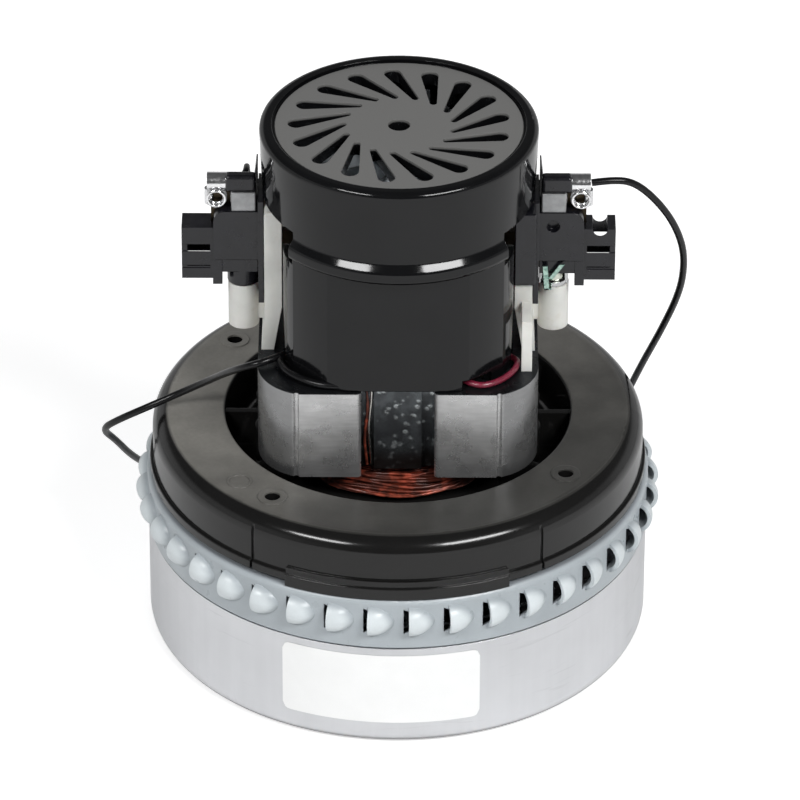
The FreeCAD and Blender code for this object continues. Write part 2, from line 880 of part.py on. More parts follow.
def armature_core():
    """The rotor laminations with their winding slots."""
    z0, z1 = stack_z, stack_z + stack_h
    slot_in = core_r - slot_depth
    mouth = box(core_r - 2, core_r + 2, -slot_mouth / 2, slot_mouth / 2, z0 - 1, z1 + 1)
    pocket = box(slot_in, core_r - 1.2, -slot_w / 2, slot_w / 2, z0 - 1, z1 + 1)
    slot = mouth.fuse(pocket)
    slots = Part.makeCompound(around(slot, core_slots, 15))
    return disc(core_r, z0, z1, shaft_core_r + fit_gap).cut(slots)


def armature_winding():
    """The armature's coils: a bundle in every slot and a domed ring of end turns each side."""
    z0, z1 = stack_z, stack_z + stack_h
    inner, outer = shaft_core_r + 2.0, core_r - 1.6
    rings = []
    for z_face, way in ((z0, -1), (z1, 1)):
        profile = [
            (inner, z_face),
            (outer, z_face),
            (outer - 1.5, z_face + way * end_turn_h),
            (inner, z_face + way * end_turn_h),
        ]
        rings.append(turned(profile, {2: 3.0, 3: 1.5}))
    slot_in = core_r - slot_depth
    bar = box(slot_in + 0.3, core_r - 1.5, -slot_w / 2 + 0.3, slot_w / 2 - 0.3, z0 - 0.5, z1 + 0.5)
    neck = disc(comm_r - 1.0, z1 + end_turn_h - 1, comm_z - riser_h, shaft_core_r + 0.6)
    return joined(rings + around(bar, core_slots, 15) + [neck])


def commutator_bars():
    """The copper bars, each with its riser, as separate solids."""
    z0, z1 = comm_z, comm_z + comm_len
    half = 180.0 / comm_bars - degrees(comm_gap / 2 / comm_r)
    bar = wedge(half, comm_r, z0, z1, 0).cut(disc(comm_r - 2.4, z0 - 1, z1 + 1))
    riser = wedge(half, riser_r, z0 - riser_h, z0 + 0.4, 0).cut(disc(comm_r - 2.4, z0 - 9, z1 + 1))
    return Part.makeCompound(around(joined([bar, riser]), comm_bars, 7.5))


def commutator_hub():
    """The moulded hub that holds the bars."""
    return disc(comm_r - 2.45, comm_z - riser_h, comm_z + comm_len + 0.6, shaft_core_r + fit_gap)


def bearing(outer_r, inner_r, height, z, race_t):
    """A ball bearing's outer race with shields, its inner race, and its balls."""
    shield = 0.6
    outer = disc(outer_r, z, z + height, outer_r - race_t)
    for z_shield in (z + 0.2, z + height - 0.2 - shield):
        outer = outer.fuse(disc(outer_r - 0.5, z_shield, z_shield + shield, inner_r + race_t + 0.5))
    inner = disc(inner_r + race_t, z, z + height, inner_r + fit_gap)
    pitch_r = (outer_r + inner_r) / 2
    ball_r = (outer_r - inner_r) / 2 - race_t - ball_gap
    ball = Part.makeSphere(ball_r, V(pitch_r, 0, z + height / 2))
    return outer, inner, Part.makeCompound(around(ball, ball_count))


def cooling_fan():
    """The pressed fan above the upper bearing, with swept blades on a disc."""
    z0 = cooling_fan_z
    floor = disc(cooling_fan_r, z0, z0 + 1.0, shaft_top_r + fit_gap)
    hub = disc(7.0, z0, z0 + 6.0, shaft_top_r + fit_gap)
    blade = swept_blade(11, cooling_fan_r - 0.4, 24, 0.9, z0 + 0.5, z0 + cooling_fan_h)
    return joined([floor, hub] + around(blade, cooling_blades))


def shoulder_body(inset):
    """The cover's round upper barrel with its shoulder, drawn in by a wall thickness."""
    low = shoulder_z if inset == 0 else shoulder_z - 1.0
    top = cover_top if inset == 0 else disc_z - disc_t
    narrow = cover_half_y - 0.8 - inset
    bead_r = barrel_r + bead_out if inset == 0 else barrel_r - inset
    rounding = {2: 1.6, 3: 1.8, 4: 0.8, 5: 1.8} if inset == 0 else {2: 1.6, 5: 0.8}
    return turned(
        [
            (0, low),
            (narrow, low),
            (bead_r, low + bead_low),
            (bead_r, low + shoulder_h - bead_slope_h),
            (barrel_r - inset, low + shoulder_h),
            (rim_r - inset, top),
            (0, top),
        ],
        rounding,
    )


def swirl_slot():
    """One teardrop slot of the cover's disc, narrow inside and wide outside."""
    z0, z1 = disc_z - disc_t - 1, disc_z + 1
    tail, head = polar(slot_in_r, 0, z0), polar(slot_out_r, slot_sweep, z0)
    way = (head - tail).normalize()
    across = AXIS.cross(way)
    inner, outer = tail + way * slot_in_half, head - way * slot_out_half
    lean = asin((slot_out_half - slot_in_half) / (outer - inner).Length)
    left = across * cos(lean) - way * sin(lean)
    right = across * -cos(lean) - way * sin(lean)
    corners = [
        inner + right * slot_in_half,
        outer + right * slot_out_half,
        outer + left * slot_out_half,
        inner + left * slot_in_half,
    ]
    edges = [
        Part.LineSegment(corners[0], corners[1]).toShape(),
        Part.Arc(corners[1], head, corners[2]).toShape(),
        Part.LineSegment(corners[2], corners[3]).toShape(),
        Part.Arc(corners[3], tail, corners[0]).toShape(),
    ]
    return Part.Face(Part.Wire(edges)).extrude(V(0, 0, z1 - z0))


def motor_cover():
    """The black cowl: squarish skirt over the motor, round barrel, disc of swirl slots."""
    wall = cover_wall
    skirt = rounded_box(cover_half_x, cover_half_y, cover_corner_r, cover_bottom, shoulder_z + 5)
    envelope = disc(barrel_r + 0.4, cover_bottom - 1, shoulder_z + shoulder_h)
    body = joined([skirt.common(envelope), shoulder_body(0)])
    hollow = rounded_box(
        cover_half_x - wall,
        cover_half_y - wall,
        cover_corner_r - wall,
        cover_bottom - 1,
        shoulder_z + 2,
    ).common(disc(barrel_r + 0.4 - wall, cover_bottom - 2, shoulder_z + shoulder_h))
    cuts = [hollow, shoulder_body(wall)]
    cuts.append(disc(disc_r + 0.9, disc_z - 0.5, cover_top + 1, disc_r))
    cuts.append(disc(disc_r + 0.4, disc_z, cover_top + 1))
    cuts.append(disc(centre_hole_r, disc_z - disc_t - 1, disc_z + 1))
    cuts += around(swirl_slot(), slot_count, slot_start)
    for middle in (0, 180):
        side = 1 if middle == 0 else -1
        slice_cut = wedge(cutout_half, barrel_r + 5, shoulder_z, cutout_top, middle)
        cuts.append(slice_cut.cut(disc(cover_half_x - wall - 2, shoulder_z - 1, cutout_top + 1)))
        a, b = sorted((side * (cover_half_x - wall - 3), side * (barrel_r + 5)))
        cuts.append(box(a, b, -window_y, window_y, window_z, cutout_top))
        for end in (-1, 1):
            low, high = sorted((end * (leg_half + 2.3), end * (leg_half + 6.5)))
            cuts.append(box(a, b, low, high, cover_bottom - 1, cover_bottom + 4))
    cuts.append(box(18.2, 26.4, -cover_half_y - 1, -28, cover_bottom - 1, cover_bottom + 3))
    return body.cut(Part.makeCompound(cuts))


def brush_bracket():
    """The off-white bracket: bearing hub, arms, legs to the stack and round posts."""
    hub_top = upper_bearing_z + upper_bearing_h + 1.0
    seat = upper_bearing_r + fit_gap
    hub = disc(upper_bearing_r + 3.5, upper_bearing_z - 1.5, hub_top, shaft_top_r + 3.5)
    hub = hub.cut(disc(seat, upper_bearing_z, hub_top + 1))
    pieces = [hub]
    arm_z0, arm_z1 = upper_bearing_z - 1.5, 141.0
    tube_y = brush_w / 2 + tube_gap + tube_wall + 0.3
    tube_z = brush_h / 2 + tube_gap + tube_wall + 0.3
    for side in (-1, 1):
        leg = [
            (leg_in + 2.4, stack_z + stack_h),
            (leg_out + 1.0, stack_z + stack_h),
            (leg_out + 0.6, 102.0),
            (leg_out, 106.0),
            (leg_out, arm_z1),
            (leg_in, arm_z1),
            (leg_in, 110.0),
        ]
        points = [V(side * x, -leg_half, z) for x, z in leg]
        face = Part.Face(rounded_wire(points, {4: 1.5}))
        pieces.append(face.extrude(V(0, 2 * leg_half, 0)))
        a, b = sorted((side * (upper_bearing_r + 1), side * (leg_in + 1)))
        pieces.append(box(a, b, -9, 9, arm_z0, arm_z1))
        rail_y = sorted((-side * 20.5, -side * 23.5))
        a, b = sorted((side * 35.0, side * 38.0))
        pieces.append(box(a, b, rail_y[0], rail_y[1], stack_z + stack_h, 112.0))
        tie_y = sorted((-side * 12.0, -side * 23.0))
        pieces.append(box(a, b, tie_y[0], tie_y[1], 108.0, 112.0))
        a, b = sorted((side * (leg_out - 1), side * post_x))
        pieces.append(box(a, b, -1.6, 1.6, post_z + 2, flange_z - 0.3))
        pieces.append(disc(post_r, post_z, post_z + post_h, 0, side * post_x, 0))
    cuts = [disc(seat, upper_bearing_z, hub_top + 1)]
    for side in (-1, 1):
        a, b = sorted((side * (leg_in - 2), side * (leg_out + 3)))
        cuts.append(box(a, b, -tube_y, tube_y, brush_z - tube_z, brush_z + tube_z))
        cuts.append(disc(1.6, post_z + 4, post_z + post_h + 1, 0, side * post_x, 0))
        for end in (-1, 1):
            cuts.append(disc(bolt_r + 0.1, 90, 105, 0, side * bolt_x, end * bolt_y))
    return joined(pieces).cut(Part.makeCompound(cuts))


def brush_holder(notched):
    """The moulded holder on the +X side; the notched one has an open slot in its outer box."""
    x0 = block_in
    pieces = [
        box(x0, block_out, -block_half, block_half, block_z, block_top),
        box(x0 + 1.8, block_out, -block_half + 0.5, block_half - 0.5, block_z - 4.3, block_z + 1),
        box(block_out - 1, box_out, -box_half, box_half, box_z, box_top),
        box(x0, x0 + flange_t, -8, 8, flange_z, 141.9),
        box(40, 47, block_half - 0.5, block_half + 2, block_z, 142.0),
        box(block_out - 2.4, block_out + 0.3, -4.6, -1.6, 112.6, 131.0),
    ]
    lug = [V(x0 + 1.2, 0, 136), V(41.2, 0, 136), V(41.2, 0, 142), V(40.3, 0, 150), V(39.9, 0, 150)]
    lug.append(V(39.9, 0, 141.9))
    lug.append(V(x0 + 1.2, 0, 141.9))
    pieces.append(Part.Face(rounded_wire(lug, {})).extrude(V(0, 5, 0)))
    if not notched:
        pieces.append(disc(post_r + 0.2, post_z + post_h + 0.4, block_z, 0, post_x, 0))
    body = joined(pieces)
    corners = [e for e in body.Edges if is_outer_top_corner(e)]
    body = body.makeFillet(3.4, corners)
    tube_y = brush_w / 2 + tube_gap + tube_wall + 0.1
    tube_z = brush_h / 2 + tube_gap + tube_wall + 0.1
    cuts = [
        box(x0 - 1, box_out - 1.6, -tube_y, tube_y, brush_z - tube_z, brush_z + tube_z),
        box(46.8, 53.4, -0.5, 0.5, brush_z, block_top + 1),
    ]
    for sign in (-1, 1):
        for low, high in ((123.1, 125.4), (117.6, 118.5)):
            a, b = sorted((sign * (box_half - 0.25), sign * (box_half + 1)))
            cuts.append(box(tube_end + 0.1, box_out + 1, a, b, low, high))
    if notched:
        middle = V(57.2, -10, 130.9)
        cuts.append(Part.makeCylinder(2.1, 20, middle, V(0, 1, 0)))
        cuts.append(box(55.1, 59.3, -10, 10, 130.9, 140))
        cuts.append(Part.makeCylinder(1.9, 3, V(43.8, -block_half - 1, 132.4), V(0, 1, 0)))
    return body.cut(Part.makeCompound(cuts))


def is_outer_top_corner(edge):
    """True for the long corner edge on top of the holder's outer end."""
    box_of = edge.BoundBox
    return (
        abs(box_of.XMin - block_out) < 0.01
        and abs(box_of.XMax - block_out) < 0.01
        and abs(box_of.ZMin - block_top) < 0.01
        and box_of.YLength > block_half
    )


def brush_tube():
    """The brass tube that guides a brush, with the tab for its terminal."""
    y_in, z_in = brush_w / 2 + tube_gap, brush_h / 2 + tube_gap
    y_out, z_out = y_in + tube_wall, z_in + tube_wall
    end = tube_end
    tube = box(tube_in, end, -y_out, y_out, brush_z - z_out, brush_z + z_out)
    tube = tube.cut(box(tube_in - 1, end - tube_end_wall, -y_in, y_in, brush_z - z_in, brush_z + z_in))
    tab = box(46.95, 46.95 + tab_w, -tab_t / 2, tab_t / 2, brush_z + z_in + 0.2, barrel_z - 3.2)
    return tube.fuse(tab)


def brush():
    """A carbon brush whose face is hollowed to the commutator's curve."""
    y, z = brush_w / 2, brush_h / 2
    block = box(comm_r - 2, brush_start + brush_len, -y, y, brush_z - z, brush_z + z)
    return block.cut(disc(brush_start, brush_z - z - 1, brush_z + z + 1))


def brush_spring():
    """The coil spring behind a brush, one unbroken wire of round turns."""
    start = brush_start + brush_len + spring_wire_r + 0.2
    end = tube_end - tube_end_wall - spring_wire_r - 0.2
    halves = 2 * spring_turns
    step = (end - start) / halves
    slope = step / (pi * spring_r)
    scale = 1 / sqrt(1 + slope * slope)

    def place(n):
        angle = pi * n
        at = V(start + step * n, spring_r * cos(angle), brush_z + spring_r * sin(angle))
        along = V(slope, -sin(angle), cos(angle)) * scale
        return at, along

    edges = []
    for n in range(halves):
        here, leave = place(n)
        there, arrive = place(n + 1)
        edges += biarc(here, leave, there, arrive)
    least_gap(edges, spring_wire_r, "brush spring", 0.5)
    first, direction = place(0)
    return pipe(edges, spring_wire_r, wire_sides, first, direction)


def brush_terminal():
    """The flag terminal: rolled receptacle on the tab, crimp barrel across its top."""
    x0 = 46.9
    x1 = x0 + tab_w + 0.2
    plate_y = tab_t / 2 + 0.1
    pieces = [box(x0 - 0.6, x1 + 0.6, plate_y, plate_y + 0.5, block_top + 0.3, barrel_z)]
    for x in (x0 - 0.3, x1 + 0.3):
        roll = disc(1.35, block_top + 0.3, barrel_z - 2.0, 0.75, x, plate_y - 0.75)
        pieces.append(roll)
    barrel = Part.makeCylinder(2.7, 7.6, V(x0 - 0.2, 0, barrel_z), V(1, 0, 0))
    pieces.append(barrel)
    bore = Part.makeCylinder(lead_r + 0.05, 20, V(x0 - 5, 0, barrel_z), V(1, 0, 0))
    tab_gap = box(x0 - 0.05, x1 - 0.05, -tab_t / 2 - 0.1, plate_y, block_top, barrel_z - 3.1)
    return joined(pieces).cut(Part.makeCompound([bore, tab_gap]))


def through_bolts():
    """The four long bolts from the bracket up into the legs."""
    head_z = bracket_floor - bracket_wall
    bolts = []
    for side in (-1, 1):
        for end in (-1, 1):
            x, y = side * bolt_x, end * bolt_y
            shank = disc(bolt_r, head_z + 2.0, 104.5, 0, x, y)
            bolts.append(shank.fuse(disc(2.8, head_z, head_z + 2.2, 0, x, y)))
    return Part.makeCompound(bolts)


def hexagon(across, z0, z1, hole):
    """A hexagon nut."""
    corner = across / 2 / cos(pi / 6)
    points = [(corner * cos(pi / 3 * n), corner * sin(pi / 3 * n)) for n in range(6)]
    return plate(points, z0, z1).cut(disc(hole, z0 - 1, z1 + 1))


def earth_screw():
    """The screw in the right post, with its head above a toothed washer and a ring tag."""
    z = post_z + post_h
    head = disc(3.2, z + 1.6, z + 4.0, 0, post_x, 0)
    return head.fuse(disc(1.5, post_z + 5, z + 1.8, 0, post_x, 0))


def earth_tag():
    """The ring tag under the earth screw, with two upturned arms."""
    z = post_z + post_h
    ring = disc(4.0, z, z + 1.4, 1.6, post_x, 0)
    arms = []
    for sign in (-1, 1):
        a, b = sorted((post_x + sign * 3.2, post_x + sign * 4.1))
        arms.append(box(a, b, -1.8, 1.8, z, z + 4.2))
    return joined([ring] + arms)


def lead_tip(end, direction):
    """The stripped and tinned end of a lead."""
    return Part.makeCylinder(tip_r, tip_len, end, direction)


def save(name, shape):
    """Writes one piece to its own file."""
    shape.exportStep("parts/" + name + ".step")


os.makedirs("parts", exist_ok=True)

save("fan_shell", fan_shell())
save("louvre_shell", louvre_shell())
save("stage_plate", stage_plate())
save("impeller_1", impeller(impeller_1_z))
save("impeller_2", impeller(impeller_2_z))
save("end_bracket", end_bracket())
save("stator_core", stator_core())
save("slot_liners", slot_liners())
front_coil = field_coil()
save("field_coil_front", front_coil)
save("field_coil_rear", turned_copy(front_coil, 180))
save("shaft", shaft())
save("armature_core", armature_core())
save("armature_winding", armature_winding())
save("commutator_bars", commutator_bars())
save("commutator_hub", commutator_hub())
for label, sizes in (
    (
        "lower_bearing",
        (lower_bearing_r, shaft_bearing_r, lower_bearing_h, lower_bearing_z, lower_race_t),
    ),
    (
        "upper_bearing",
        (upper_bearing_r, shaft_top_r, upper_bearing_h, upper_bearing_z, upper_race_t),
    ),
):
    outer_race, inner_race, balls = bearing(*sizes)
    save(label + "_outer", outer_race)
    save(label + "_inner", inner_race)
    save(label + "_balls", balls)

impeller_1_top = impeller_1_z + impeller_h + impeller_sheet
impeller_2_top = impeller_2_z + impeller_h + impeller_sheet
first_back = impeller_1_z + impeller_h
second_back = impeller_2_z + impeller_h
shaft_hole = shaft_fan_r + fit_gap
save("fan_spacer_1", disc(spacer_r, impeller_1_top, second_back - washer_t, shaft_hole))
save("fan_spacer_2", disc(spacer_r, impeller_2_top + washer_t, lower_bearing_z - 0.4, shaft_hole))
washers = [
    disc(washer_r, first_back - washer_t, first_back, shaft_hole),
    disc(washer_r, second_back - washer_t, second_back, shaft_hole),
    disc(washer_r, impeller_2_top, impeller_2_top + washer_t, shaft_hole),
]
save("shaft_washers", Part.makeCompound(washers))
nut_top = first_back - washer_t
save("lock_nut", hexagon(nut_across, nut_top - nut_h, nut_top, shaft_hole))
save("cooling_fan", cooling_fan())
save("fan_clip", disc(6.0, cooling_fan_z + 6.0, cooling_fan_z + 7.2, shaft_top_r + fit_gap))
save("motor_cover", motor_cover())
save("brush_bracket", brush_bracket())
save("brush_holder_right", brush_holder(True))
save("brush_holder_left", mirrored(brush_holder(False)))
for piece, shape in (
    ("brush_tube", brush_tube()),
    ("brush_terminal", brush_terminal()),
    ("brush", brush()),
    ("brush_spring", brush_spring()),
):
    save(piece + "_right", shape)
    save(piece + "_left", mirrored(shape))
save("through_bolts", through_bolts())
save("earth_screw", earth_screw())
save("earth_tag", earth_tag())
save("field_jumper", route_tube(jumper_route, jumper_r, "field jumper"))
save("coil_link", route_tube(link_route, jumper_r, "coil link"))

tips = []
for name, route, sense in (("right", lead_right_route, -1), ("left", lead_left_route, 1)):
    save("lead_" + name, route_tube(route, lead_r, "lead " + name))
    last, before = V(*route[-1]), V(*route[-2])
    heading = degrees(atan2(last.y - before.y, last.x - before.x))
    start_angle = heading - sense * 90
    join = last + polar(2 * lead_r, heading)
    centre = join - polar(coil_outer_r, start_angle)
    coil, end, way = spiral_coil(
        centre, coil_outer_r, coil_step, coil_turns, start_angle, sense, lead_r, "lead coil " + name
    )
    save("lead_" + name + "_coil", coil)
    tips.append(lead_tip(end, way))
save("lead_tips", Part.makeCompound(tips))
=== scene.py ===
"""Dresses a two-stage bypass vacuum motor: finishes, windings, leads, bare label and studio.

The origin is the middle of the can's underside, Z runs up the shaft and -Y is the front.
Lengths are in metres, and in millimetres in the finishes' patterns.
"""

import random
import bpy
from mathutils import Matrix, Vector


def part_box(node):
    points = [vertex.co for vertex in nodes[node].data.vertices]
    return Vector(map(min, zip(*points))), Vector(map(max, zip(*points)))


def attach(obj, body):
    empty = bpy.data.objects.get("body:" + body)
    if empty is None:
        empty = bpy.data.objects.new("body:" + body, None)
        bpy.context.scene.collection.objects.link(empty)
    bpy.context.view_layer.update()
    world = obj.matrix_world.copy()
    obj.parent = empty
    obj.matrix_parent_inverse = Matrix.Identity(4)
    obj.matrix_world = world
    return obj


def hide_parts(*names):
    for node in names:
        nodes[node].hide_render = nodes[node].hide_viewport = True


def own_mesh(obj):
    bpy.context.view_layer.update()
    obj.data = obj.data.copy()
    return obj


bl_info = {
    "name": "Vacuum motor dressing",
    "version": (1, 0, 0),
    "blender": (4, 5, 0),
    "location": "3D View > Sidebar > Motor",
    "description": "Finishes, windings, leads, bare label and studio for a two-stage vacuum motor",
    "category": "Object",
}

from math import atan2, cos, pi, radians, sin, sqrt

import bpy
from bpy.props import FloatProperty, FloatVectorProperty, IntProperty, PointerProperty
from mathutils import Matrix, Vector

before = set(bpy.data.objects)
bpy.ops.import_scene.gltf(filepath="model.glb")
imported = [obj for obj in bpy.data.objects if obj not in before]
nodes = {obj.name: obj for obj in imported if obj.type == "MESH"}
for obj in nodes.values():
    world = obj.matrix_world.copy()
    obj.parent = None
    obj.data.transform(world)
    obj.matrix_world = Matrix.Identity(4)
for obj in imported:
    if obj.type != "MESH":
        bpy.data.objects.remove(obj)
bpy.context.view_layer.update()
MM = 0.001
SIDES = (("right", 1), ("left", -1))

# The stack's two faces from the frame, its sheets, and the field coils' inner front corner and bends
STACK_LOW, STACK_HIGH = (round(corner.z, 5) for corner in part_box("stator_core"))
SHEET_MM = 0.5
COIL_SIDE_X = 0.0194
COIL_SIDE_Y = 0.0249
COIL_RISE = 0.0034
COIL_BOW = 24.0

# Leads and inner wires: the same chosen points as the solids have
LEAD_FLOOR = 0.00115
LEAD_RIGHT_ROUTE = [
    (0.0546, 0.0, 0.144),
    (0.0605, 0.0006, 0.1446),
    (0.0666, 0.0021, 0.143),
    (0.0728, 0.0048, 0.136),
    (0.0784, 0.0086, 0.126),
    (0.0818, 0.0132, 0.1144),
    (0.0822, 0.0178, 0.1028),
    (0.0808, 0.023, 0.0915),
    (0.0766, 0.031, 0.075),
    (0.072, 0.040, 0.0585),
    (0.068, 0.049, 0.042),
    (0.063, 0.058, 0.026),
    (0.056, 0.067, 0.0125),
    (0.046, 0.0755, 0.0034),
    (0.034, 0.0822, LEAD_FLOOR),
    (0.021, 0.0866, LEAD_FLOOR),
]
LEAD_LEFT_ROUTE = [
    (-0.032, -0.0172, 0.0972),
    (-0.0372, -0.0226, 0.098),
    (-0.0438, -0.022, 0.0956),
    (-0.0488, -0.015, 0.0894),
    (-0.0544, -0.0056, 0.0806),
    (-0.0618, -0.0005, 0.0736),
    (-0.072, -0.002, 0.0692),
    (-0.0808, -0.0005, 0.0638),
    (-0.086, 0.005, 0.057),
    (-0.0824, 0.0126, 0.0484),
    (-0.0786, 0.0235, 0.036),
    (-0.074, 0.037, 0.0235),
    (-0.066, 0.052, 0.012),
    (-0.054, 0.0665, 0.004),
    (-0.039, 0.079, LEAD_FLOOR),
    (-0.021, 0.0866, LEAD_FLOOR),
]
FIELD_JUMPER_ROUTE = [
    (-0.0474, 0.0, 0.144),
    (-0.0448, 0.0003, 0.1442),
    (-0.0432, 0.004, 0.1452),
    (-0.0432, 0.0092, 0.1442),
    (-0.043, 0.0128, 0.136),
    (-0.0428, 0.0146, 0.121),
    (-0.0422, 0.0156, 0.107),
    (-0.0396, 0.017, 0.0982),
    (-0.0332, 0.0172, 0.0972),
]
COIL_LINK_ROUTE = [
    (0.0304, -0.0164, 0.0966),
    (0.0342, -0.0184, 0.0966),
    (0.0336, -0.0232, 0.0966),
    (0.0312, -0.0276, 0.0966),
    (0.0274, -0.0314, 0.0966),
    (0.0224, -0.0332, 0.0966),
    (0.0186, -0.0302, 0.0968),
]

# Trim on the stack, which the solids don't have
DARK_SLEEVE_ROUTE = [
    (-0.0318, -0.0172, 0.0968),
    (-0.0340, -0.0196, 0.0970),
    (-0.0326, -0.0246, 0.0970),
    (-0.0292, -0.0290, 0.0970),
    (-0.0244, -0.0322, 0.0969),
    (-0.0190, -0.0338, 0.0968),
    (-0.0140, -0.0332, 0.0966),
]
CHANNEL_WIRE_X = (-0.0090, -0.0078)
CHANNEL_WIRE_Y = -0.0306


class MotorSizes(bpy.types.PropertyGroup):
    """Sizes of the dressed pieces."""

    lead_diameter: FloatProperty(
        name="Lead diameter", description="Outer diameter of a lead", default=0.0021, unit="LENGTH"
    )
    hookup_diameter: FloatProperty(
        name="Hook-up wire", description="Outer diameter of the inner wires", default=0.0018, unit="LENGTH"
    )
    coil_radius: FloatProperty(
        name="Coil radius", description="Outer turn of a put-away lead", default=0.0146, unit="LENGTH"
    )
    coil_step: FloatProperty(
        name="Coil step", description="Inward step of each put-away turn", default=0.00285, unit="LENGTH"
    )
    label_left: FloatProperty(
        name="Label left", description="Angle of the label's left edge",
        default=radians(-26.6), subtype="ANGLE",
    )
    label_right: FloatProperty(
        name="Label right", description="Angle of the label's right edge",
        default=radians(19.0), subtype="ANGLE",
    )
    label_low: FloatProperty(
        name="Label foot", description="Height of the label's lower edge", default=0.008, unit="LENGTH"
    )
    label_high: FloatProperty(
        name="Label top", description="Height of the label's upper edge", default=0.031, unit="LENGTH"
    )
    field_wires: IntProperty(
        name="Field wires", description="Wires that show in each field coil", default=84, min=8
    )
    armature_wires: IntProperty(
        name="Armature wires", description="Wires in each armature coil's end turn", default=9, min=2
    )


class MotorColours(bpy.types.PropertyGroup):
    """Base colours of the finishes."""

    can: FloatVectorProperty(
        name="Can", description="Zinc-plated can", default=(0.66, 0.667, 0.685), subtype="COLOR"
    )
    louvre: FloatVectorProperty(
        name="Louvre ring", description="Pale louvre shell", default=(0.40, 0.44, 0.465), subtype="COLOR"
    )
    fan: FloatVectorProperty(
        name="Fan", description="Spun aluminium", default=(0.78, 0.79, 0.80), subtype="COLOR"
    )
    bracket: FloatVectorProperty(
        name="Bracket", description="Moulded end bracket", default=(0.048, 0.047, 0.044), subtype="COLOR"
    )
    cover: FloatVectorProperty(
        name="Cowl", description="Glossy black cowl", default=(0.004, 0.0041, 0.0046), subtype="COLOR"
    )
    disc: FloatVectorProperty(
        name="Disc", description="Satin grey disc of the cowl",
        default=(0.149, 0.148, 0.144), subtype="COLOR",
    )
    lamination: FloatVectorProperty(
        name="Laminations", description="Steel sheets of the stack",
        default=(0.54, 0.54, 0.54), subtype="COLOR",
    )
    enamel: FloatVectorProperty(
        name="Enamel", description="Enamelled copper wire", default=(0.34, 0.066, 0.036), subtype="COLOR"
    )
    white: FloatVectorProperty(
        name="White moulding", description="Off-white brush bracket",
        default=(0.74, 0.73, 0.69), subtype="COLOR",
    )
    black: FloatVectorProperty(
        name="Black moulding", description="Brush holders", default=(0.006, 0.006, 0.0085), subtype="COLOR"
    )
    insulation: FloatVectorProperty(
        name="Insulation", description="Black wire cover", default=(0.004, 0.004, 0.0045), subtype="COLOR"
    )
    paper: FloatVectorProperty(
        name="Label", description="Bare white label", default=(0.93, 0.935, 0.93), subtype="COLOR"
    )


class MotorStudio(bpy.types.PropertyGroup):
    """Light and camera."""

    focal_length: FloatProperty(
        name="Focal length", description="Lens on a 36 mm sensor, in millimetres", default=309.56
    )
    distance: FloatProperty(
        name="Distance", description="From the camera to the point it looks at", default=1.986, unit="LENGTH"
    )
    elevation: FloatProperty(
        name="Elevation", description="Angle of the camera above the floor",
        default=radians(32.74), subtype="ANGLE",
    )
    roll: FloatProperty(
        name="Roll", description="Turn of the camera about its view", default=-0.0044, subtype="ANGLE"
    )
    aim_side: FloatProperty(
        name="Aim side", description="Sideways place of the point looked at", default=0.0006, unit="LENGTH"
    )
    aim_height: FloatProperty(
        name="Aim height", description="Height of the point looked at", default=0.0706, unit="LENGTH"
    )
    world_low: FloatProperty(
        name="Dark side", description="Strength of the even light from in front", default=0.09
    )
    world_high: FloatProperty(
        name="Light side", description="Strength of the even light from behind and from both sides",
        default=0.42,
    )
    gloss_share: FloatProperty(
        name="Backdrop in gloss", description="Share of the white backdrop that metal and gloss show",
        default=0.3,
    )
    box_power: FloatProperty(
        name="Soft boxes", description="Strength of each soft box", default=17.0, unit="POWER"
    )


class NodeTree:
    """Adds nodes to one tree and joins them."""

    def __init__(self, tree):
        self.tree = tree
        tree.nodes.clear()

    def feed(self, socket, value):
        """Gives a socket a number, a colour or another node's output."""
        if isinstance(value, bpy.types.NodeSocket):
            self.tree.links.new(value, socket)
        else:
            socket.default_value = value

    def add(self, kind, inputs=None, **settings):
        """A new node with its settings, and its inputs by name or number."""
        node = self.tree.nodes.new(kind)
        for name, value in settings.items():
            setattr(node, name, value)
        for key, value in (inputs or {}).items():
            self.feed(node.inputs[key], value)
        return node

    def maths(self, operation, *values):
        """One sum of numbers and other nodes' outputs."""
        return self.add("ShaderNodeMath", dict(enumerate(values)), operation=operation).outputs[0]

    def spread(self, value, low, high, to_low=0.0, to_high=1.0, ramp="SMOOTHSTEP"):
        """Maps low..high onto to_low..to_high and holds it there outside."""
        inputs = dict(enumerate((value, low, high, to_low, to_high)))
        return self.add("ShaderNodeMapRange", inputs, interpolation_type=ramp).outputs[0]

    def seen_share(self, gloss_share):
        """1 for what the camera sees straight or through glass, and a share for what gloss shows."""
        rays = self.add("ShaderNodeLightPath").outputs
        gloss = self.maths("MULTIPLY", rays["Is Glossy Ray"], gloss_share)
        straight = self.maths("MAXIMUM", rays["Is Camera Ray"], rays["Is Transmission Ray"])
        return self.maths("MAXIMUM", straight, gloss)


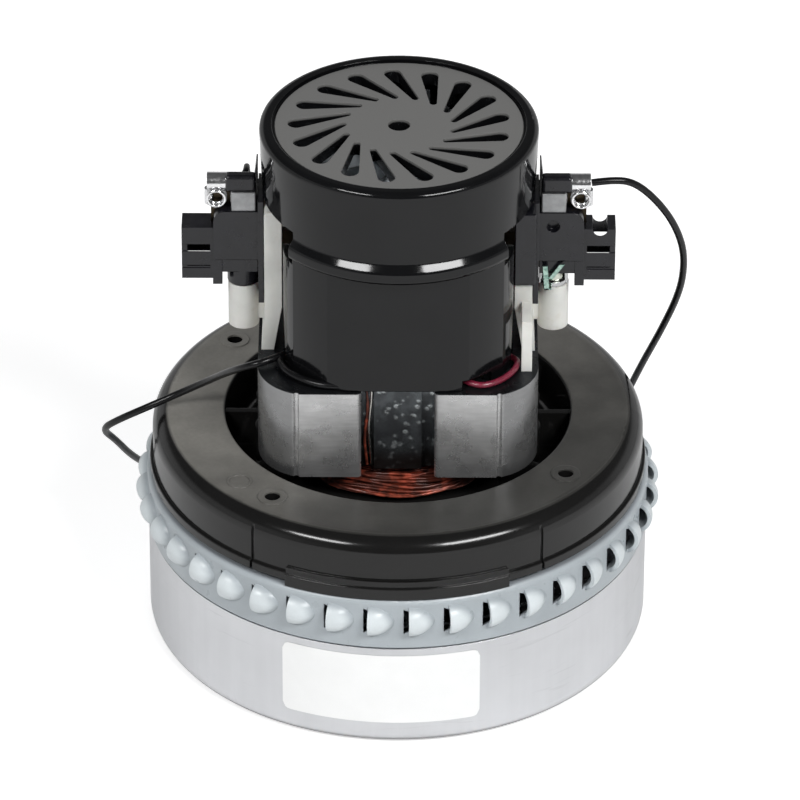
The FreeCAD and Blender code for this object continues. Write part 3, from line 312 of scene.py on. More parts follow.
class Finish(NodeTree):
    """A material whose patterns are laid out in millimetres of the part's own space."""

    def __init__(self, name, colour, roughness=0.5, **settings):
        self.material = bpy.data.materials.new(name)
        self.material.use_nodes = True
        super().__init__(self.material.node_tree)
        self.shader = self.add("ShaderNodeBsdfPrincipled")
        self.add("ShaderNodeOutputMaterial", {0: self.shader.outputs[0]})
        where = {0: self.add("ShaderNodeTexCoord").outputs["Object"], "Scale": 1 / MM}
        self.place = self.add("ShaderNodeVectorMath", where, operation="SCALE").outputs[0]
        self.x, self.y, self.z = self.add("ShaderNodeSeparateXYZ", {0: self.place}).outputs
        self.colour = (*colour, 1.0)
        self.roughness = roughness
        self.normal = None
        for key, value in settings.items():
            socket = key.replace("_", " ").title().replace("Ior", "IOR")
            self.feed(self.shader.inputs[socket], value)

    def radius(self):
        """Distance from the shaft's axis in millimetres."""
        squares = [self.maths("MULTIPLY", side, side) for side in (self.x, self.y)]
        return self.maths("SQRT", self.maths("ADD", *squares))

    def noise(self, size, detail, stretch=(1, 1, 1), distortion=0.0):
        """Cloudy noise from 0 to 1, whose blobs are about size millimetres across."""
        place = self.add("ShaderNodeVectorMath", {0: self.place, 1: stretch}, operation="MULTIPLY").outputs[0]
        inputs = {"Vector": place, "Scale": 1 / size, "Detail": detail, "Distortion": distortion}
        return self.add("ShaderNodeTexNoise", inputs).outputs[0]

    def cells(self, size):
        """Cell pattern whose cells are about size millimetres across."""
        return self.add("ShaderNodeTexVoronoi", {"Vector": self.place, "Scale": 1 / size}).outputs[0]

    def rings(self, per_mm):
        """Fine turning marks round the shaft's axis."""
        wave = self.maths("SINE", self.maths("MULTIPLY", self.radius(), per_mm))
        self.shade(self.spread(wave, -1, 1), 0.97, 1.02)

    def band(self, value, low, high, soft):
        """1 between low and high, 0 outside, with soft edges."""
        rise = self.spread(value, low - soft, low + soft)
        fall = self.spread(value, high - soft, high + soft, 1.0, 0.0)
        return self.maths("MULTIPLY", rise, fall)

    def tint(self, mask, colour, amount=1.0):
        """Blends a colour in where the mask is 1."""
        share = mask if amount == 1.0 else self.maths("MULTIPLY", mask, amount)
        inputs = {0: share, 6: self.colour, 7: (*colour, 1.0)}
        self.colour = self.add("ShaderNodeMix", inputs, data_type="RGBA").outputs[2]

    def shade(self, mask, low, high):
        """Multiplies the colour by low..high over a mask from 0 to 1."""
        factor = self.spread(mask, 0.25, 0.75, low, high)
        grey = self.add("ShaderNodeCombineColor", {0: factor, 1: factor, 2: factor})
        inputs = {0: 1.0, 6: self.colour, 7: grey.outputs[0]}
        self.colour = self.add("ShaderNodeMix", inputs, data_type="RGBA", blend_type="MULTIPLY").outputs[2]

    def mottle(self, size, detail, low, high, stretch=(1, 1, 1)):
        """Darkens and lightens the colour in blobs about size millimetres across."""
        self.shade(self.noise(size, detail, stretch), low, high)

    def vary_roughness(self, size, detail, low, high, stretch=(1, 1, 1)):
        """Roughness from low to high in blobs about size millimetres across."""
        self.roughness = self.spread(self.noise(size, detail, stretch), 0.2, 0.8, low, high)

    def rougher_where(self, mask, value):
        """Another roughness where the mask is 1."""
        inputs = {0: mask, 2: self.roughness, 3: value}
        self.roughness = self.add("ShaderNodeMix", inputs, data_type="FLOAT").outputs[0]

    def bend_normal(self, kind, inputs, **settings):
        """Adds a node that changes the normal so far."""
        if self.normal is not None:
            inputs["Normal"] = self.normal
        self.normal = self.add(kind, inputs, **settings).outputs[0]

    def soften(self, radius_mm):
        """Rounds the sharp edges' shading, as on moulded and pressed parts."""
        self.bend_normal("ShaderNodeBevel", {"Radius": radius_mm * MM}, samples=6)

    def bump(self, height, depth_mm, strength):
        """Raises the surface by a height from 0 to 1."""
        inputs = {"Strength": strength, "Distance": depth_mm * MM, "Height": height}
        self.bend_normal("ShaderNodeBump", inputs)

    def done(self):
        """The finished material."""
        self.feed(self.shader.inputs["Base Color"], self.colour)
        self.feed(self.shader.inputs["Roughness"], self.roughness)
        if self.normal is not None:
            self.feed(self.shader.inputs["Normal"], self.normal)
        return self.material


def can_zinc(colours):
    """Drawn and zinc-plated steel: soft upright draw marks, blotches, small scuffs and a painted contact
    shadow along the foot edge.
    """
    f = Finish("can_zinc", colours.can, metallic=0.95)
    f.mottle(26, 4, 0.95, 1.04)
    streaks = f.noise(2.4, 3, (1, 1, 0.05))
    f.shade(streaks, 0.985, 1.012)
    f.vary_roughness(9, 4, 0.31, 0.43, (1, 1, 0.3))
    scuffs = f.spread(f.noise(3.2, 8, (0.15, 0.15, 1.6), 0.6), 0.62, 0.72)
    f.tint(scuffs, (0.45, 0.455, 0.47), 0.25)
    # Painted shade: a dark band along the can's foot stands in for the contact shadow at the floor.
    foot = f.spread(f.z, 1.3, 3.0, 1.0, 0.0)
    f.tint(foot, (0.14, 0.14, 0.145), 0.85)
    f.soften(0.35)
    f.bump(streaks, 0.006, 0.4)
    f.bump(f.noise(22, 2), 0.10, 0.2)
    return f.done()


def louvre_coat(colours):
    """Pale satin coating on the pressed louvre shell, with painted light on the dome tops and painted shade
    inside the louvres.
    """
    f = Finish("louvre_coat", colours.louvre)
    # Painted light: the domes are lightened where their tops catch the light.
    painted_dome_light = f.spread(f.radius(), 72.9, 75.2)
    f.tint(painted_dome_light, (0.66, 0.71, 0.73))
    f.mottle(12, 4, 0.95, 1.04)
    f.mottle(0.5, 2, 0.985, 1.015)
    # Painted shade: the inside of the shell, seen through the louvres' mouths, is darkened.
    inside = f.spread(f.radius(), 71.4, 72.3, 1.0, 0.0)
    f.tint(inside, (0.25, 0.27, 0.30), 0.6)
    f.vary_roughness(4, 3, 0.26, 0.4)
    f.soften(0.3)
    f.bump(f.noise(1.1, 3), 0.02, 0.3)
    return f.done()


def fan_sheet(colours):
    """Bright spun aluminium with turning marks round the shaft."""
    f = Finish("fan_sheet", colours.fan, metallic=1.0)
    f.rings(9.0)
    f.mottle(7, 4, 0.9, 1.05)
    f.vary_roughness(2.5, 4, 0.22, 0.4)
    f.soften(0.2)
    return f.done()


def fan_casting():
    """Matt cast alloy of the cooling fan."""
    f = Finish("fan_casting", (0.74, 0.78, 0.81), 0.5, metallic=0.35)
    f.mottle(5, 4, 0.92, 1.06)
    f.mottle(0.6, 3, 0.96, 1.04)
    f.soften(0.2)
    return f.done()


def bracket_moulding(colours):
    """Thermoset bracket: satin top with a painted sheen, lighter and rougher behind and at the left, painted
    shade in the bowl, and a glossy skirt.
    """
    f = Finish("bracket_moulding", colours.bracket, specular_ior_level=0.38)
    flat = f.spread(f.z, 68.1, 68.45)
    # Painted shade: the bowl round the stack is darkened where little light reaches it.
    painted_bowl_shade = f.spread(f.radius(), 49.9, 50.6, 1.0, 0.0)
    # Painted sheen: the top is lightened behind and at the left, as the backdrop's reflection would light it.
    # The same mask makes the top rougher there.
    lean = f.maths("MULTIPLY_ADD", f.x, -0.0085, f.maths("MULTIPLY", f.y, 0.0100))
    lean = f.maths("ADD", lean, f.spread(f.noise(24, 3), 0.2, 0.8, -0.16, 0.16))
    painted_sheen = f.spread(lean, -0.75, 0.76)
    f.tint(f.maths("MULTIPLY", flat, painted_sheen), (0.228, 0.220, 0.200))
    skirt = f.maths("SUBTRACT", 1.0, flat)
    f.tint(skirt, (0.008, 0.0078, 0.0076))
    f.tint(painted_bowl_shade, (0.009, 0.0088, 0.0085), 0.85)
    f.mottle(9, 5, 0.9, 1.1)
    f.mottle(1.0, 3, 0.95, 1.05)
    f.roughness = f.spread(painted_sheen, 0.0, 1.0, 0.28, 0.42)
    f.rougher_where(skirt, 0.15)
    f.soften(0.4)
    f.bump(f.noise(0.35, 4), 0.02, 0.2)
    return f.done()


def cowl_moulding(colours):
    """Glossy black cowl with a satin grey disc inside its rim."""
    f = Finish("cowl_moulding", colours.cover, specular_ior_level=0.32)
    f.mottle(11, 4, 0.85, 1.2)
    f.vary_roughness(5, 4, 0.06, 0.14)
    disc = f.maths("MULTIPLY", f.spread(f.z, 161.6, 162.2), f.spread(f.radius(), 35.0, 35.3, 1.0, 0.0))
    f.tint(disc, colours.disc)
    f.rougher_where(disc, 0.36)
    f.soften(0.35)
    grain = f.maths("MULTIPLY", f.noise(0.4, 3), disc)
    f.bump(grain, 0.05, 0.5)
    f.bump(f.noise(16, 2), 0.05, 0.3)
    return f.done()


def lamination_steel(colours):
    """Stacked electrical steel: faint sheet lines, stains, painted shade on the angled sides and the top,
    varnished recess.
    """
    f = Finish("lamination_steel", colours.lamination, metallic=0.82)
    sheets = f.maths("SINE", f.maths("MULTIPLY", f.z, 2 * pi / SHEET_MM))
    f.mottle(8, 5, 0.86, 1.08)
    f.mottle(7, 1, 0.93, 1.05, (1, 1, 7))
    f.tint(f.spread(sheets, -0.9, 0.4, 1.0, 0.0), (0.2, 0.2, 0.2), 0.03)
    depth = f.maths("ABSOLUTE", f.y)
    side = f.maths("ABSOLUTE", f.x)
    recess = f.maths("MULTIPLY", f.spread(depth, 34.2, 34.8, 1.0, 0.0), f.band(depth, 28, 40, 0.3))
    recess = f.maths("MULTIPLY", recess, f.spread(side, 10.6, 11.0, 1.0, 0.0))
    cloud = f.spread(f.noise(4.0, 4), 0.4, 0.62)
    specks = f.spread(f.cells(2.3), 0.14, 0.46, 1.0, 0.0)
    specks = f.maths("MULTIPLY", specks, f.spread(f.noise(3, 2), 0.42, 0.54))
    stain = f.spread(f.z, 69.5, 76.0, 1.0, 0.0)
    # Painted shade: the angled sides are darkened, standing in for the dark bracket that they reflect.
    f.tint(f.spread(side, 28.6, 30.4), (0.19, 0.192, 0.195), 0.75)
    f.tint(recess, (0.062, 0.069, 0.075), 0.95)
    for mask, colour, amount in (
        (cloud, (0.15, 0.165, 0.175), 0.7),
        (specks, (0.62, 0.66, 0.67), 0.85),
        (stain, (0.030, 0.016, 0.013), 0.8),
    ):
        f.tint(f.maths("MULTIPLY", recess, mask), colour, amount)
    # Painted shade: the top face under the cowl is darkened almost to black.
    f.tint(f.spread(f.z, 95.2, 95.45), (0.014, 0.016, 0.020), 0.96)
    f.vary_roughness(5, 4, 0.22, 0.36)
    f.rougher_where(recess, 0.24)
    f.soften(0.25)
    f.bump(f.maths("MULTIPLY", specks, recess), 0.12, 0.3)
    return f.done()


def enamelled_copper(colours):
    """Varnished magnet wire, redder and browner by turns."""
    f = Finish("enamelled_copper", colours.enamel, 0.26, metallic=0.3, coat_weight=0.3, coat_roughness=0.15)
    f.mottle(2.6, 4, 0.3, 1.55)
    f.tint(f.spread(f.noise(4.5, 4), 0.40, 0.56), (0.046, 0.018, 0.014), 0.75)
    f.bump(f.noise(0.5, 2), 0.05, 0.4)
    return f.done()


def white_moulding(colours):
    """Off-white glass-filled nylon with a faint grain and yellowed patches."""
    f = Finish("white_moulding", colours.white, subsurface_weight=0.05)
    f.mottle(7, 4, 0.93, 1.04)
    f.tint(f.spread(f.noise(3, 5), 0.58, 0.75), (0.58, 0.55, 0.47), 0.35)
    f.vary_roughness(3, 3, 0.36, 0.5)
    f.soften(0.35)
    f.bump(f.noise(0.3, 3), 0.03, 0.35)
    return f.done()


def black_moulding(colours):
    """Black phenolic of the brush holders, glossy with fine flow marks."""
    f = Finish("black_moulding", colours.black)
    f.mottle(5, 4, 0.8, 1.3)
    f.vary_roughness(3, 4, 0.16, 0.3)
    f.soften(0.3)
    f.bump(f.noise(0.6, 3), 0.02, 0.3)
    return f.done()


def brown_moulding():
    """Brown phenolic of the commutator's hub."""
    f = Finish("brown_moulding", (0.09, 0.035, 0.015), 0.4)
    f.mottle(2, 4, 0.8, 1.2)
    f.soften(0.2)
    return f.done()


def tinned_sheet():
    """Bright tinned brass of the terminals, with press marks."""
    f = Finish("tinned_sheet", (0.86, 0.86, 0.87), metallic=1.0)
    f.mottle(1.5, 4, 0.88, 1.05)
    f.vary_roughness(0.8, 4, 0.1, 0.28)
    f.soften(0.2)
    f.bump(f.noise(0.9, 3), 0.04, 0.5)
    return f.done()


def painted_shade_brass():
    """Drawn brass painted dark, as shade where it shows through the holders' windows, with long marks."""
    # Painted shade: the brass is made dark so that the holders' windows read as shaded slots.
    f = Finish("painted_shade_brass", (0.055, 0.044, 0.030), 0.36, metallic=1.0)
    f.mottle(1.2, 4, 0.85, 1.08, (0.1, 1, 1))
    f.soften(0.15)
    return f.done()


def dull_tin():
    """Dull tinned sheet of the caps over the brush blocks."""
    f = Finish("dull_tin", (0.34, 0.345, 0.35), metallic=0.7)
    f.mottle(2.2, 4, 0.85, 1.1)
    f.vary_roughness(1.4, 3, 0.36, 0.5)
    return f.done()


def green_plating():
    """Zinc plate with a green chromate, on the earth tag's arms."""
    f = Finish("green_plating", (0.40, 0.56, 0.49), 0.26, metallic=1.0)
    f.mottle(1.0, 4, 0.7, 1.2)
    f.tint(f.spread(f.noise(1.6, 3), 0.5, 0.65), (0.08, 0.20, 0.16), 0.6)
    return f.done()


def machined_steel():
    """Turned and plated steel parts."""
    f = Finish("machined_steel", (0.56, 0.565, 0.57), metallic=1.0)
    f.mottle(2, 4, 0.85, 1.08)
    f.vary_roughness(1.1, 4, 0.2, 0.38)
    f.soften(0.2)
    return f.done()


def plated_screw():
    """Zinc-plated screw with a faint green passivation."""
    f = Finish("plated_screw", (0.60, 0.63, 0.55), 0.24, metallic=1.0)
    f.mottle(1.2, 4, 0.8, 1.12)
    f.soften(0.2)
    return f.done()


def bearing_steel():
    """Ground and polished bearing steel."""
    f = Finish("bearing_steel", (0.68, 0.69, 0.70), 0.14, metallic=1.0)
    f.rings(22.0)
    f.soften(0.2)
    return f.done()


def commutator_copper():
    """Copper bars with a darker brush track."""
    f = Finish("commutator_copper", (0.72, 0.33, 0.18), 0.3, metallic=1.0)
    track = f.band(f.z, 118.5, 129.5, 0.5)
    f.tint(track, (0.28, 0.14, 0.09), 0.7)
    f.mottle(0.6, 3, 0.85, 1.1, (1, 1, 8))
    f.soften(0.15)
    return f.done()


def carbon_block():
    """Dark graphite with a fine sparkle."""
    f = Finish("carbon_block", (0.035, 0.035, 0.038), 0.5, metallic=0.2)
    f.mottle(0.25, 4, 0.7, 1.5)
    f.soften(0.15)
    return f.done()


def liner_sheet():
    """Pale insulating paper."""
    f = Finish("liner_sheet", (0.66, 0.60, 0.46), 0.55)
    f.mottle(0.8, 4, 0.88, 1.08, (1, 1, 0.3))
    return f.done()


def wire_cover(colours):
    """Black plastic insulation with a soft shine."""
    f = Finish("wire_cover", colours.insulation, 0.26, specular_ior_level=0.3)
    f.mottle(1.5, 3, 0.8, 1.3)
    f.bump(f.noise(0.5, 3), 0.02, 0.3)
    return f.done()


def woven_sleeve():
    """Varnished woven sleeving, dark red with paler threads."""
    f = Finish("woven_sleeve", (0.17, 0.012, 0.032), 0.3, coat_weight=0.5, coat_roughness=0.12)
    weave = f.cells(0.34)
    f.shade(weave, 0.6, 1.5)
    f.bump(weave, 0.06, 0.8)
    return f.done()


def label_paper(colours):
    """Bare white label stock with a satin film and faint fibre."""
    f = Finish("label_paper", colours.paper)
    f.mottle(7, 4, 0.985, 1.01)
    f.mottle(0.2, 3, 0.985, 1.01)
    f.vary_roughness(5, 3, 0.34, 0.46)
    return f.done()


def bare_strands():
    """Tinned copper strands."""
    f = Finish("bare_strands", (0.76, 0.74, 0.70), 0.25, metallic=1.0)
    f.mottle(0.6, 3, 0.85, 1.1)
    return f.done()


def paint(material, *names):
    """Gives CAD nodes one finish all over."""
    for name in names:
        node = nodes[name]
        node.data.materials.clear()
        node.data.materials.append(material)
        for polygon in node.data.polygons:
            polygon.material_index = 0


def new_object(name, data):
    """An object in the scene, made of a mesh, a curve, a lamp or a camera."""
    made = bpy.data.objects.new(name, data)
    bpy.context.scene.collection.objects.link(made)
    return made


def new_piece(name, data, material, body):
    """A piece of one material that rides on a body."""
    data.materials.append(material)
    piece = new_object(name, data)
    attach(piece, body)
    return piece


def new_mesh(name, verts, faces, material, smooth=True):
    """A mesh piece that rides on the frame."""
    data = bpy.data.meshes.new(name)
    data.from_pydata([tuple(v) for v in verts], [], faces)
    data.validate()
    data.polygons.foreach_set("use_smooth", [smooth] * len(data.polygons))
    return new_piece(name, data, material, "frame")


def new_slab(name, low, high, material, edge, segments=3, lean=0.0):
    """A small block with rounded edges, whose upper side is moved by lean along X."""
    verts = []
    for z, shift in ((low[2], 0.0), (high[2], lean)):
        for x, y in ((low[0], low[1]), (high[0], low[1]), (high[0], high[1]), (low[0], high[1])):
            verts.append((x + shift, y, z))
    faces = [(3, 2, 1, 0), (4, 5, 6, 7), (0, 1, 5, 4), (1, 2, 6, 5), (2, 3, 7, 6), (3, 0, 4, 7)]
    slab = new_mesh(name, verts, faces, material, smooth=False)
    rounding = slab.modifiers.new("edges", "BEVEL")
    rounding.width = edge
    rounding.segments = segments
    rounding.limit_method = "ANGLE"


def round_curve(name, diameter, resolution):
    """An empty curve whose splines become round wires."""
    data = bpy.data.curves.new(name, "CURVE")
    data.dimensions = "3D"
    data.bevel_depth = diameter / 2
    data.bevel_resolution = resolution
    data.use_fill_caps = True
    return data


def add_spline(data, kind, points):
    """A spline through or along the points."""
    spline = data.splines.new(kind)
    spline.points.add(len(points) - 1)
    for point, place in zip(spline.points, points):
        point.co = (*place, 1.0)
    return spline


def new_wires(name, paths, diameter, material, body="frame", cyclic=False, resolution=3):
    """Round wires along lists of points, all in one curve object."""
    data = round_curve(name, diameter, resolution)
    for path in paths:
        spline = add_spline(data, "POLY", path)
        spline.use_cyclic_u = cyclic
        spline.use_smooth = True
    return new_piece(name, data, material, body)


def new_cord(name, points, diameter, material):
    """A cord on one smooth line with the route's points as its control points."""
    data = round_curve(name, diameter, 5)
    data.resolution_u = 14
    spline = add_spline(data, "NURBS", points)
    spline.order_u = 3
    spline.use_endpoint_u = True
    return new_piece(name, data, material, "frame")


def tube(path, radius, sides):
    """Corners and faces of a round tube along a path, closed at both ends."""
    verts, faces = [], []
    across = (path[1] - path[0]).orthogonal().normalized()
    for n, point in enumerate(path):
        way = (path[min(n + 1, len(path) - 1)] - path[max(n - 1, 0)]).normalized()
        across = (across - way * across.dot(way)).normalized()
        side = way.cross(across)
        for k in range(sides):
            spin = 2 * pi * k / sides
            verts.append(point + (across * cos(spin) + side * sin(spin)) * radius)
    for n in range(len(path) - 1):
        for k in range(sides):
            a, b = n * sides + k, n * sides + (k + 1) % sides
            faces.append((a, b, b + sides, a + sides))
    faces.append(tuple(reversed(range(sides))))
    faces.append(tuple(range((len(path) - 1) * sides, len(path) * sides)))
    return verts, faces


class MOTOR_OT_sheet_metal(bpy.types.Operator):
    """Finishes the can, the louvre shell and the fan stages"""

    bl_idname = "motor.sheet_metal"
    bl_label = "Sheet metal"

    def execute(self, context):
        colours = context.scene.motor_colours
        paint(can_zinc(colours), "fan_shell")
        paint(louvre_coat(colours), "louvre_shell")
        paint(fan_sheet(colours), "stage_plate", "impeller_1", "impeller_2")
        paint(fan_casting(), "cooling_fan")
        return {"FINISHED"}


class MOTOR_OT_mouldings(bpy.types.Operator):
    """Finishes the end bracket, the cowl and the brush gear's mouldings"""

    bl_idname = "motor.mouldings"
    bl_label = "Mouldings"

    def execute(self, context):
        colours = context.scene.motor_colours
        paint(bracket_moulding(colours), "end_bracket")
        paint(cowl_moulding(colours), "motor_cover")
        paint(white_moulding(colours), "brush_bracket")
        paint(black_moulding(colours), "brush_holder_right", "brush_holder_left")
        paint(brown_moulding(), "commutator_hub")
        return {"FINISHED"}


class MOTOR_OT_magnetic_parts(bpy.types.Operator):
    """Finishes the laminations, the liners, the commutator and the brushes"""

    bl_idname = "motor.magnetic_parts"
    bl_label = "Cores and commutator"

    def execute(self, context):
        paint(lamination_steel(context.scene.motor_colours), "stator_core", "armature_core")
        paint(liner_sheet(), "slot_liners")
        paint(commutator_copper(), "commutator_bars")
        paint(carbon_block(), "brush_right", "brush_left")
        return {"FINISHED"}


class MOTOR_OT_hardware(bpy.types.Operator):
    """Finishes the shaft, bearings, screws, tubes and terminals"""

    bl_idname = "motor.hardware"
    bl_label = "Hardware"

    def execute(self, context):
        steel = machined_steel()
        paint(steel, "shaft", "fan_spacer_1", "fan_spacer_2", "shaft_washers", "lock_nut", "fan_clip")
        paint(steel, "through_bolts", "earth_tag")
        paint(plated_screw(), "earth_screw")
        bearings = [name for name in nodes if "_bearing_" in name]
        paint(bearing_steel(), *bearings)
        paint(painted_shade_brass(), "brush_tube_right", "brush_tube_left")
        paint(tinned_sheet(), "brush_terminal_right", "brush_terminal_left")
        return {"FINISHED"}


def field_loop(across, depth, wobble, face):
    """One turn of a field coil: up beside the pole, bowed across its face, and down again.

    across and depth place the wire in the bundle, in metres from its inner front corner.
    """
    bow = radians(COIL_BOW)
    rise = COIL_RISE + across
    side_x = COIL_SIDE_X + across
    side_y = depth - COIL_SIDE_Y
    bend_steps, bow_steps = 6, 8
    points = []
    for level, way in ((STACK_HIGH, 1), (STACK_LOW, -1)):
        for sign in ((-1, 1) if way > 0 else (1, -1)):
            arc = []
            for n in range(bend_steps + 1):
                swing = pi / 2 * n / bend_steps
                reach = rise * (1 - cos(swing))
                x = sign * (side_x - reach * cos(bow))
                arc.append(Vector((x, side_y - reach * sin(bow), level + way * rise * sin(swing))))
            going_up = (sign < 0) == (way > 0)
            points += arc if going_up else list(reversed(arc))
            if going_up:
                start = arc[-1]
                radius = abs(start.x) / sin(bow)
                for n in range(1, bow_steps):
                    swing = bow * (1 - 2 * n / bow_steps)
                    x = -radius * sin(swing) * (1 if start.x < 0 else -1)
                    y = start.y - radius * (cos(swing) - cos(bow))
                    points.append(Vector((x, y, start.z)))
    for n, point in enumerate(points):
        phase = 2 * pi * n / len(points)
        point.x += wobble[0] * sin(phase * 2 + wobble[3])
        point.y += wobble[1] * sin(phase * 3 + wobble[4])
        point.z += wobble[2] * sin(phase * 5 + wobble[3] + wobble[4])
        point.y *= face
        point.x *= face
    return points


class MOTOR_OT_field_coils(bpy.types.Operator):
    """Winds the two field coils from fine enamelled wire"""

    bl_idname = "motor.field_coils"
    bl_label = "Field coils"

    def execute(self, context):
        wire = enamelled_copper(context.scene.motor_colours)
        rng = random.Random(11)
        diameter, columns, column_pitch, row_pitch = 0.00088, 7, 0.00084, 0.00074
        for name, face in (("front", 1), ("rear", -1)):
            paths = []
            for n in range(context.scene.motor_sizes.field_wires):
                column, row = n % columns, n // columns
                across = (column + 0.5 * (row % 2)) * column_pitch
                wobble = [rng.uniform(0.0002, 0.0008) for _ in range(3)]
                wobble += [rng.uniform(0, 6.3) for _ in range(2)]
                paths.append(field_loop(across, row * row_pitch, wobble, face))
            winding = new_wires("field_winding_" + name, paths, diameter, wire, cyclic=True, resolution=2)
            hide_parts("field_coil_" + name)
        return {"FINISHED"}


class MOTOR_OT_armature_winding(bpy.types.Operator):
    """Winds the armature's end turns and fills its slots"""

    bl_idname = "motor.armature_winding"
    bl_label = "Armature winding"

    def execute(self, context):
        wire = enamelled_copper(context.scene.motor_colours)
        rng = random.Random(7)
        slots, span, steps, diameter = 12, 5, 8, 0.00076
        slot_r, slot_step, turn_r, turn_step = 0.0182, 0.0006, 0.0112, 0.0009
        rise, coil_step, tier_step = 0.0018, 0.0026, 0.0011
        paths = []
        for slot in range(slots):
            start = radians(15 + slot * 360 / slots)
            swing = radians(span * 360 / slots)
            for n in range(context.scene.motor_sizes.armature_wires):
                near = turn_r + turn_step * (n % 5) + rng.uniform(-0.0002, 0.0002)
                far = slot_r - slot_step * (n % 4)
                height = rise + coil_step * slot / slots + tier_step * (n // 3) + rng.uniform(0, 0.0003)
                path = []
                for level, way in ((STACK_LOW, -1), (STACK_HIGH, 1)):
                    arc = []
                    for step in range(steps + 1):
                        bulge = sin(pi * step / steps)
                        r = far + (near - far) * bulge
                        turned = Matrix.Rotation(start + swing * step / steps, 3, "Z")
                        arc.append(turned @ Vector((r, 0, level + way * height * bulge ** 0.5)))
                    path += arc if way < 0 else list(reversed(arc))
                paths.append(path)
        winding = new_wires("armature_end_turns", paths, diameter, wire, "rotor", cyclic=True, resolution=1)
        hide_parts("armature_winding")
        return {"FINISHED"}


class MOTOR_OT_label(bpy.types.Operator):
    """Lays the bare label round the can's front"""

    bl_idname = "motor.label"
    bl_label = "Bare label"

    def execute(self, context):
        sizes = context.scene.motor_sizes
        can_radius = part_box("fan_shell")[1].x
        lift, thickness, corner = 0.00008, 0.0001, 0.0022
        columns, rows = 72, 10
        left = can_radius * sizes.label_left
        right = can_radius * sizes.label_right
        height = sizes.label_high - sizes.label_low
        verts, faces = [], []
        for column in range(columns + 1):
            along = left + (right - left) * column / columns
            inset = 0.0
            nearest = min(along - left, right - along)
            if nearest < corner:
                inset = corner - sqrt(max(0.0, corner ** 2 - (corner - nearest) ** 2))
            angle = along / can_radius
            for row in range(rows + 1):
                z = sizes.label_low + inset + (height - 2 * inset) * row / rows
                r = can_radius + lift
                verts.append((r * sin(angle), -r * cos(angle), z))
        for column in range(columns):
            for row in range(rows):
                a = column * (rows + 1) + row
                faces.append((a, a + rows + 1, a + rows + 2, a + 1))
        paper = label_paper(context.scene.motor_colours)
        label = new_mesh("bare_label", verts, faces, paper, smooth=False)
        film = label.modifiers.new("film", "SOLIDIFY")
        film.thickness = thickness
        film.offset = 1.0
        return {"FINISHED"}


def coil_points(end, before, sizes, sense):
    """The put-away turns that carry a lead on from its last run: a flat spiral, wound inward."""
    way = Vector((end[0] - before[0], end[1] - before[1], 0)).normalized()
    start_angle = atan2(way.y, way.x) - sense * pi / 2
    joint = Vector(end) + way * sizes.lead_diameter
    centre = joint - Vector((cos(start_angle), sin(start_angle), 0)) * sizes.coil_radius
    turns, per_turn = 2.25, 16
    count = int(turns * per_turn)
    tail, tail_step = 3, 0.001
    points = []
    for n in range(1, count + 1):
        angle = start_angle + sense * 2 * pi * n / per_turn
        radius = sizes.coil_radius - sizes.coil_step * n / per_turn
        if n > count - tail:
            radius -= tail_step * (n - count + tail)
        # A control point lies a little outside the turn that it draws
        radius /= cos(pi / per_turn) ** 0.9
        points.append(tuple(centre + Vector((cos(angle), sin(angle), 0)) * radius))
    return points


def strands(name, tip, way, material):
    """Seven tinned strands at a lead's stripped end, six twisted round the middle one."""
    across = Vector((-way.y, way.x, 0))
    up = Vector((0, 0, 1))
    diameter, twist, ring, bare, sunk = 0.0004, 0.9, 0.00036, 0.0042, 0.0004
    paths = []
    for n in range(7):
        r = 0.0 if n == 6 else ring
        path = []
        for step in range(12):
            share = step / 11
            spin = 2 * pi * (n / 6 + share * twist)
            out = across * r * cos(spin) + up * r * sin(spin)
            path.append(tip + way * (bare * share - sunk) + out)
        paths.append(path)
    return new_wires(name, paths, diameter, material, resolution=1)


class MOTOR_OT_leads(bpy.types.Operator):
    """Lays the two black leads with their put-away coils and stripped ends"""

    bl_idname = "motor.leads"
    bl_label = "Leads"

    def execute(self, context):
        sizes = context.scene.motor_sizes
        cover = wire_cover(context.scene.motor_colours)
        tin = bare_strands()
        for name, route, sense, length in (
            ("right", LEAD_RIGHT_ROUTE, -1, 0.365),
            ("left", LEAD_LEFT_ROUTE, 1, 0.364),
        ):
            points = route + coil_points(route[-1], route[-2], sizes, sense)
            lead = new_cord("lead_cord_" + name, points, sizes.lead_diameter, cover)
            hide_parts("lead_" + name, "lead_%s_coil" % name)
            tip = Vector(points[-1])
            way = (tip - Vector(points[-2])).normalized()
            end = strands("lead_strands_" + name, tip, way, tin)
            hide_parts("lead_tips")
        return {"FINISHED"}


class MOTOR_OT_inner_wires(bpy.types.Operator):
    """Lays the jumper, the sleeved link, the dark sleeve and the recess's two thin wires"""

    bl_idname = "motor.inner_wires"
    bl_label = "Inner wires"

    def execute(self, context):
        colours = context.scene.motor_colours
        diameter = context.scene.motor_sizes.hookup_diameter
        thin, top, drop = 0.00084, STACK_HIGH - 0.001, 0.026
        jumper = new_cord("jumper_wire", FIELD_JUMPER_ROUTE, diameter, wire_cover(colours))
        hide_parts("field_jumper")
        link = new_cord("link_sleeve", COIL_LINK_ROUTE, diameter, woven_sleeve())
        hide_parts("coil_link")
        new_cord("dark_sleeve", DARK_SLEEVE_ROUTE, diameter * 1.25, wire_cover(colours))
        finishes = (enamelled_copper(colours), bare_strands())
        for n, (x, finish) in enumerate(zip(CHANNEL_WIRE_X, finishes)):
            path = []
            for step in range(12):
                share = step / 11
                side = x + 0.0004 * sin(7.0 * share + n)
                depth = CHANNEL_WIRE_Y + 0.0002 * cos(5.0 * share)
                path.append(Vector((side, depth, top - drop * share)))
            new_wires("channel_wire_%d" % (n + 1), [path], thin, finish)
        return {"FINISHED"}


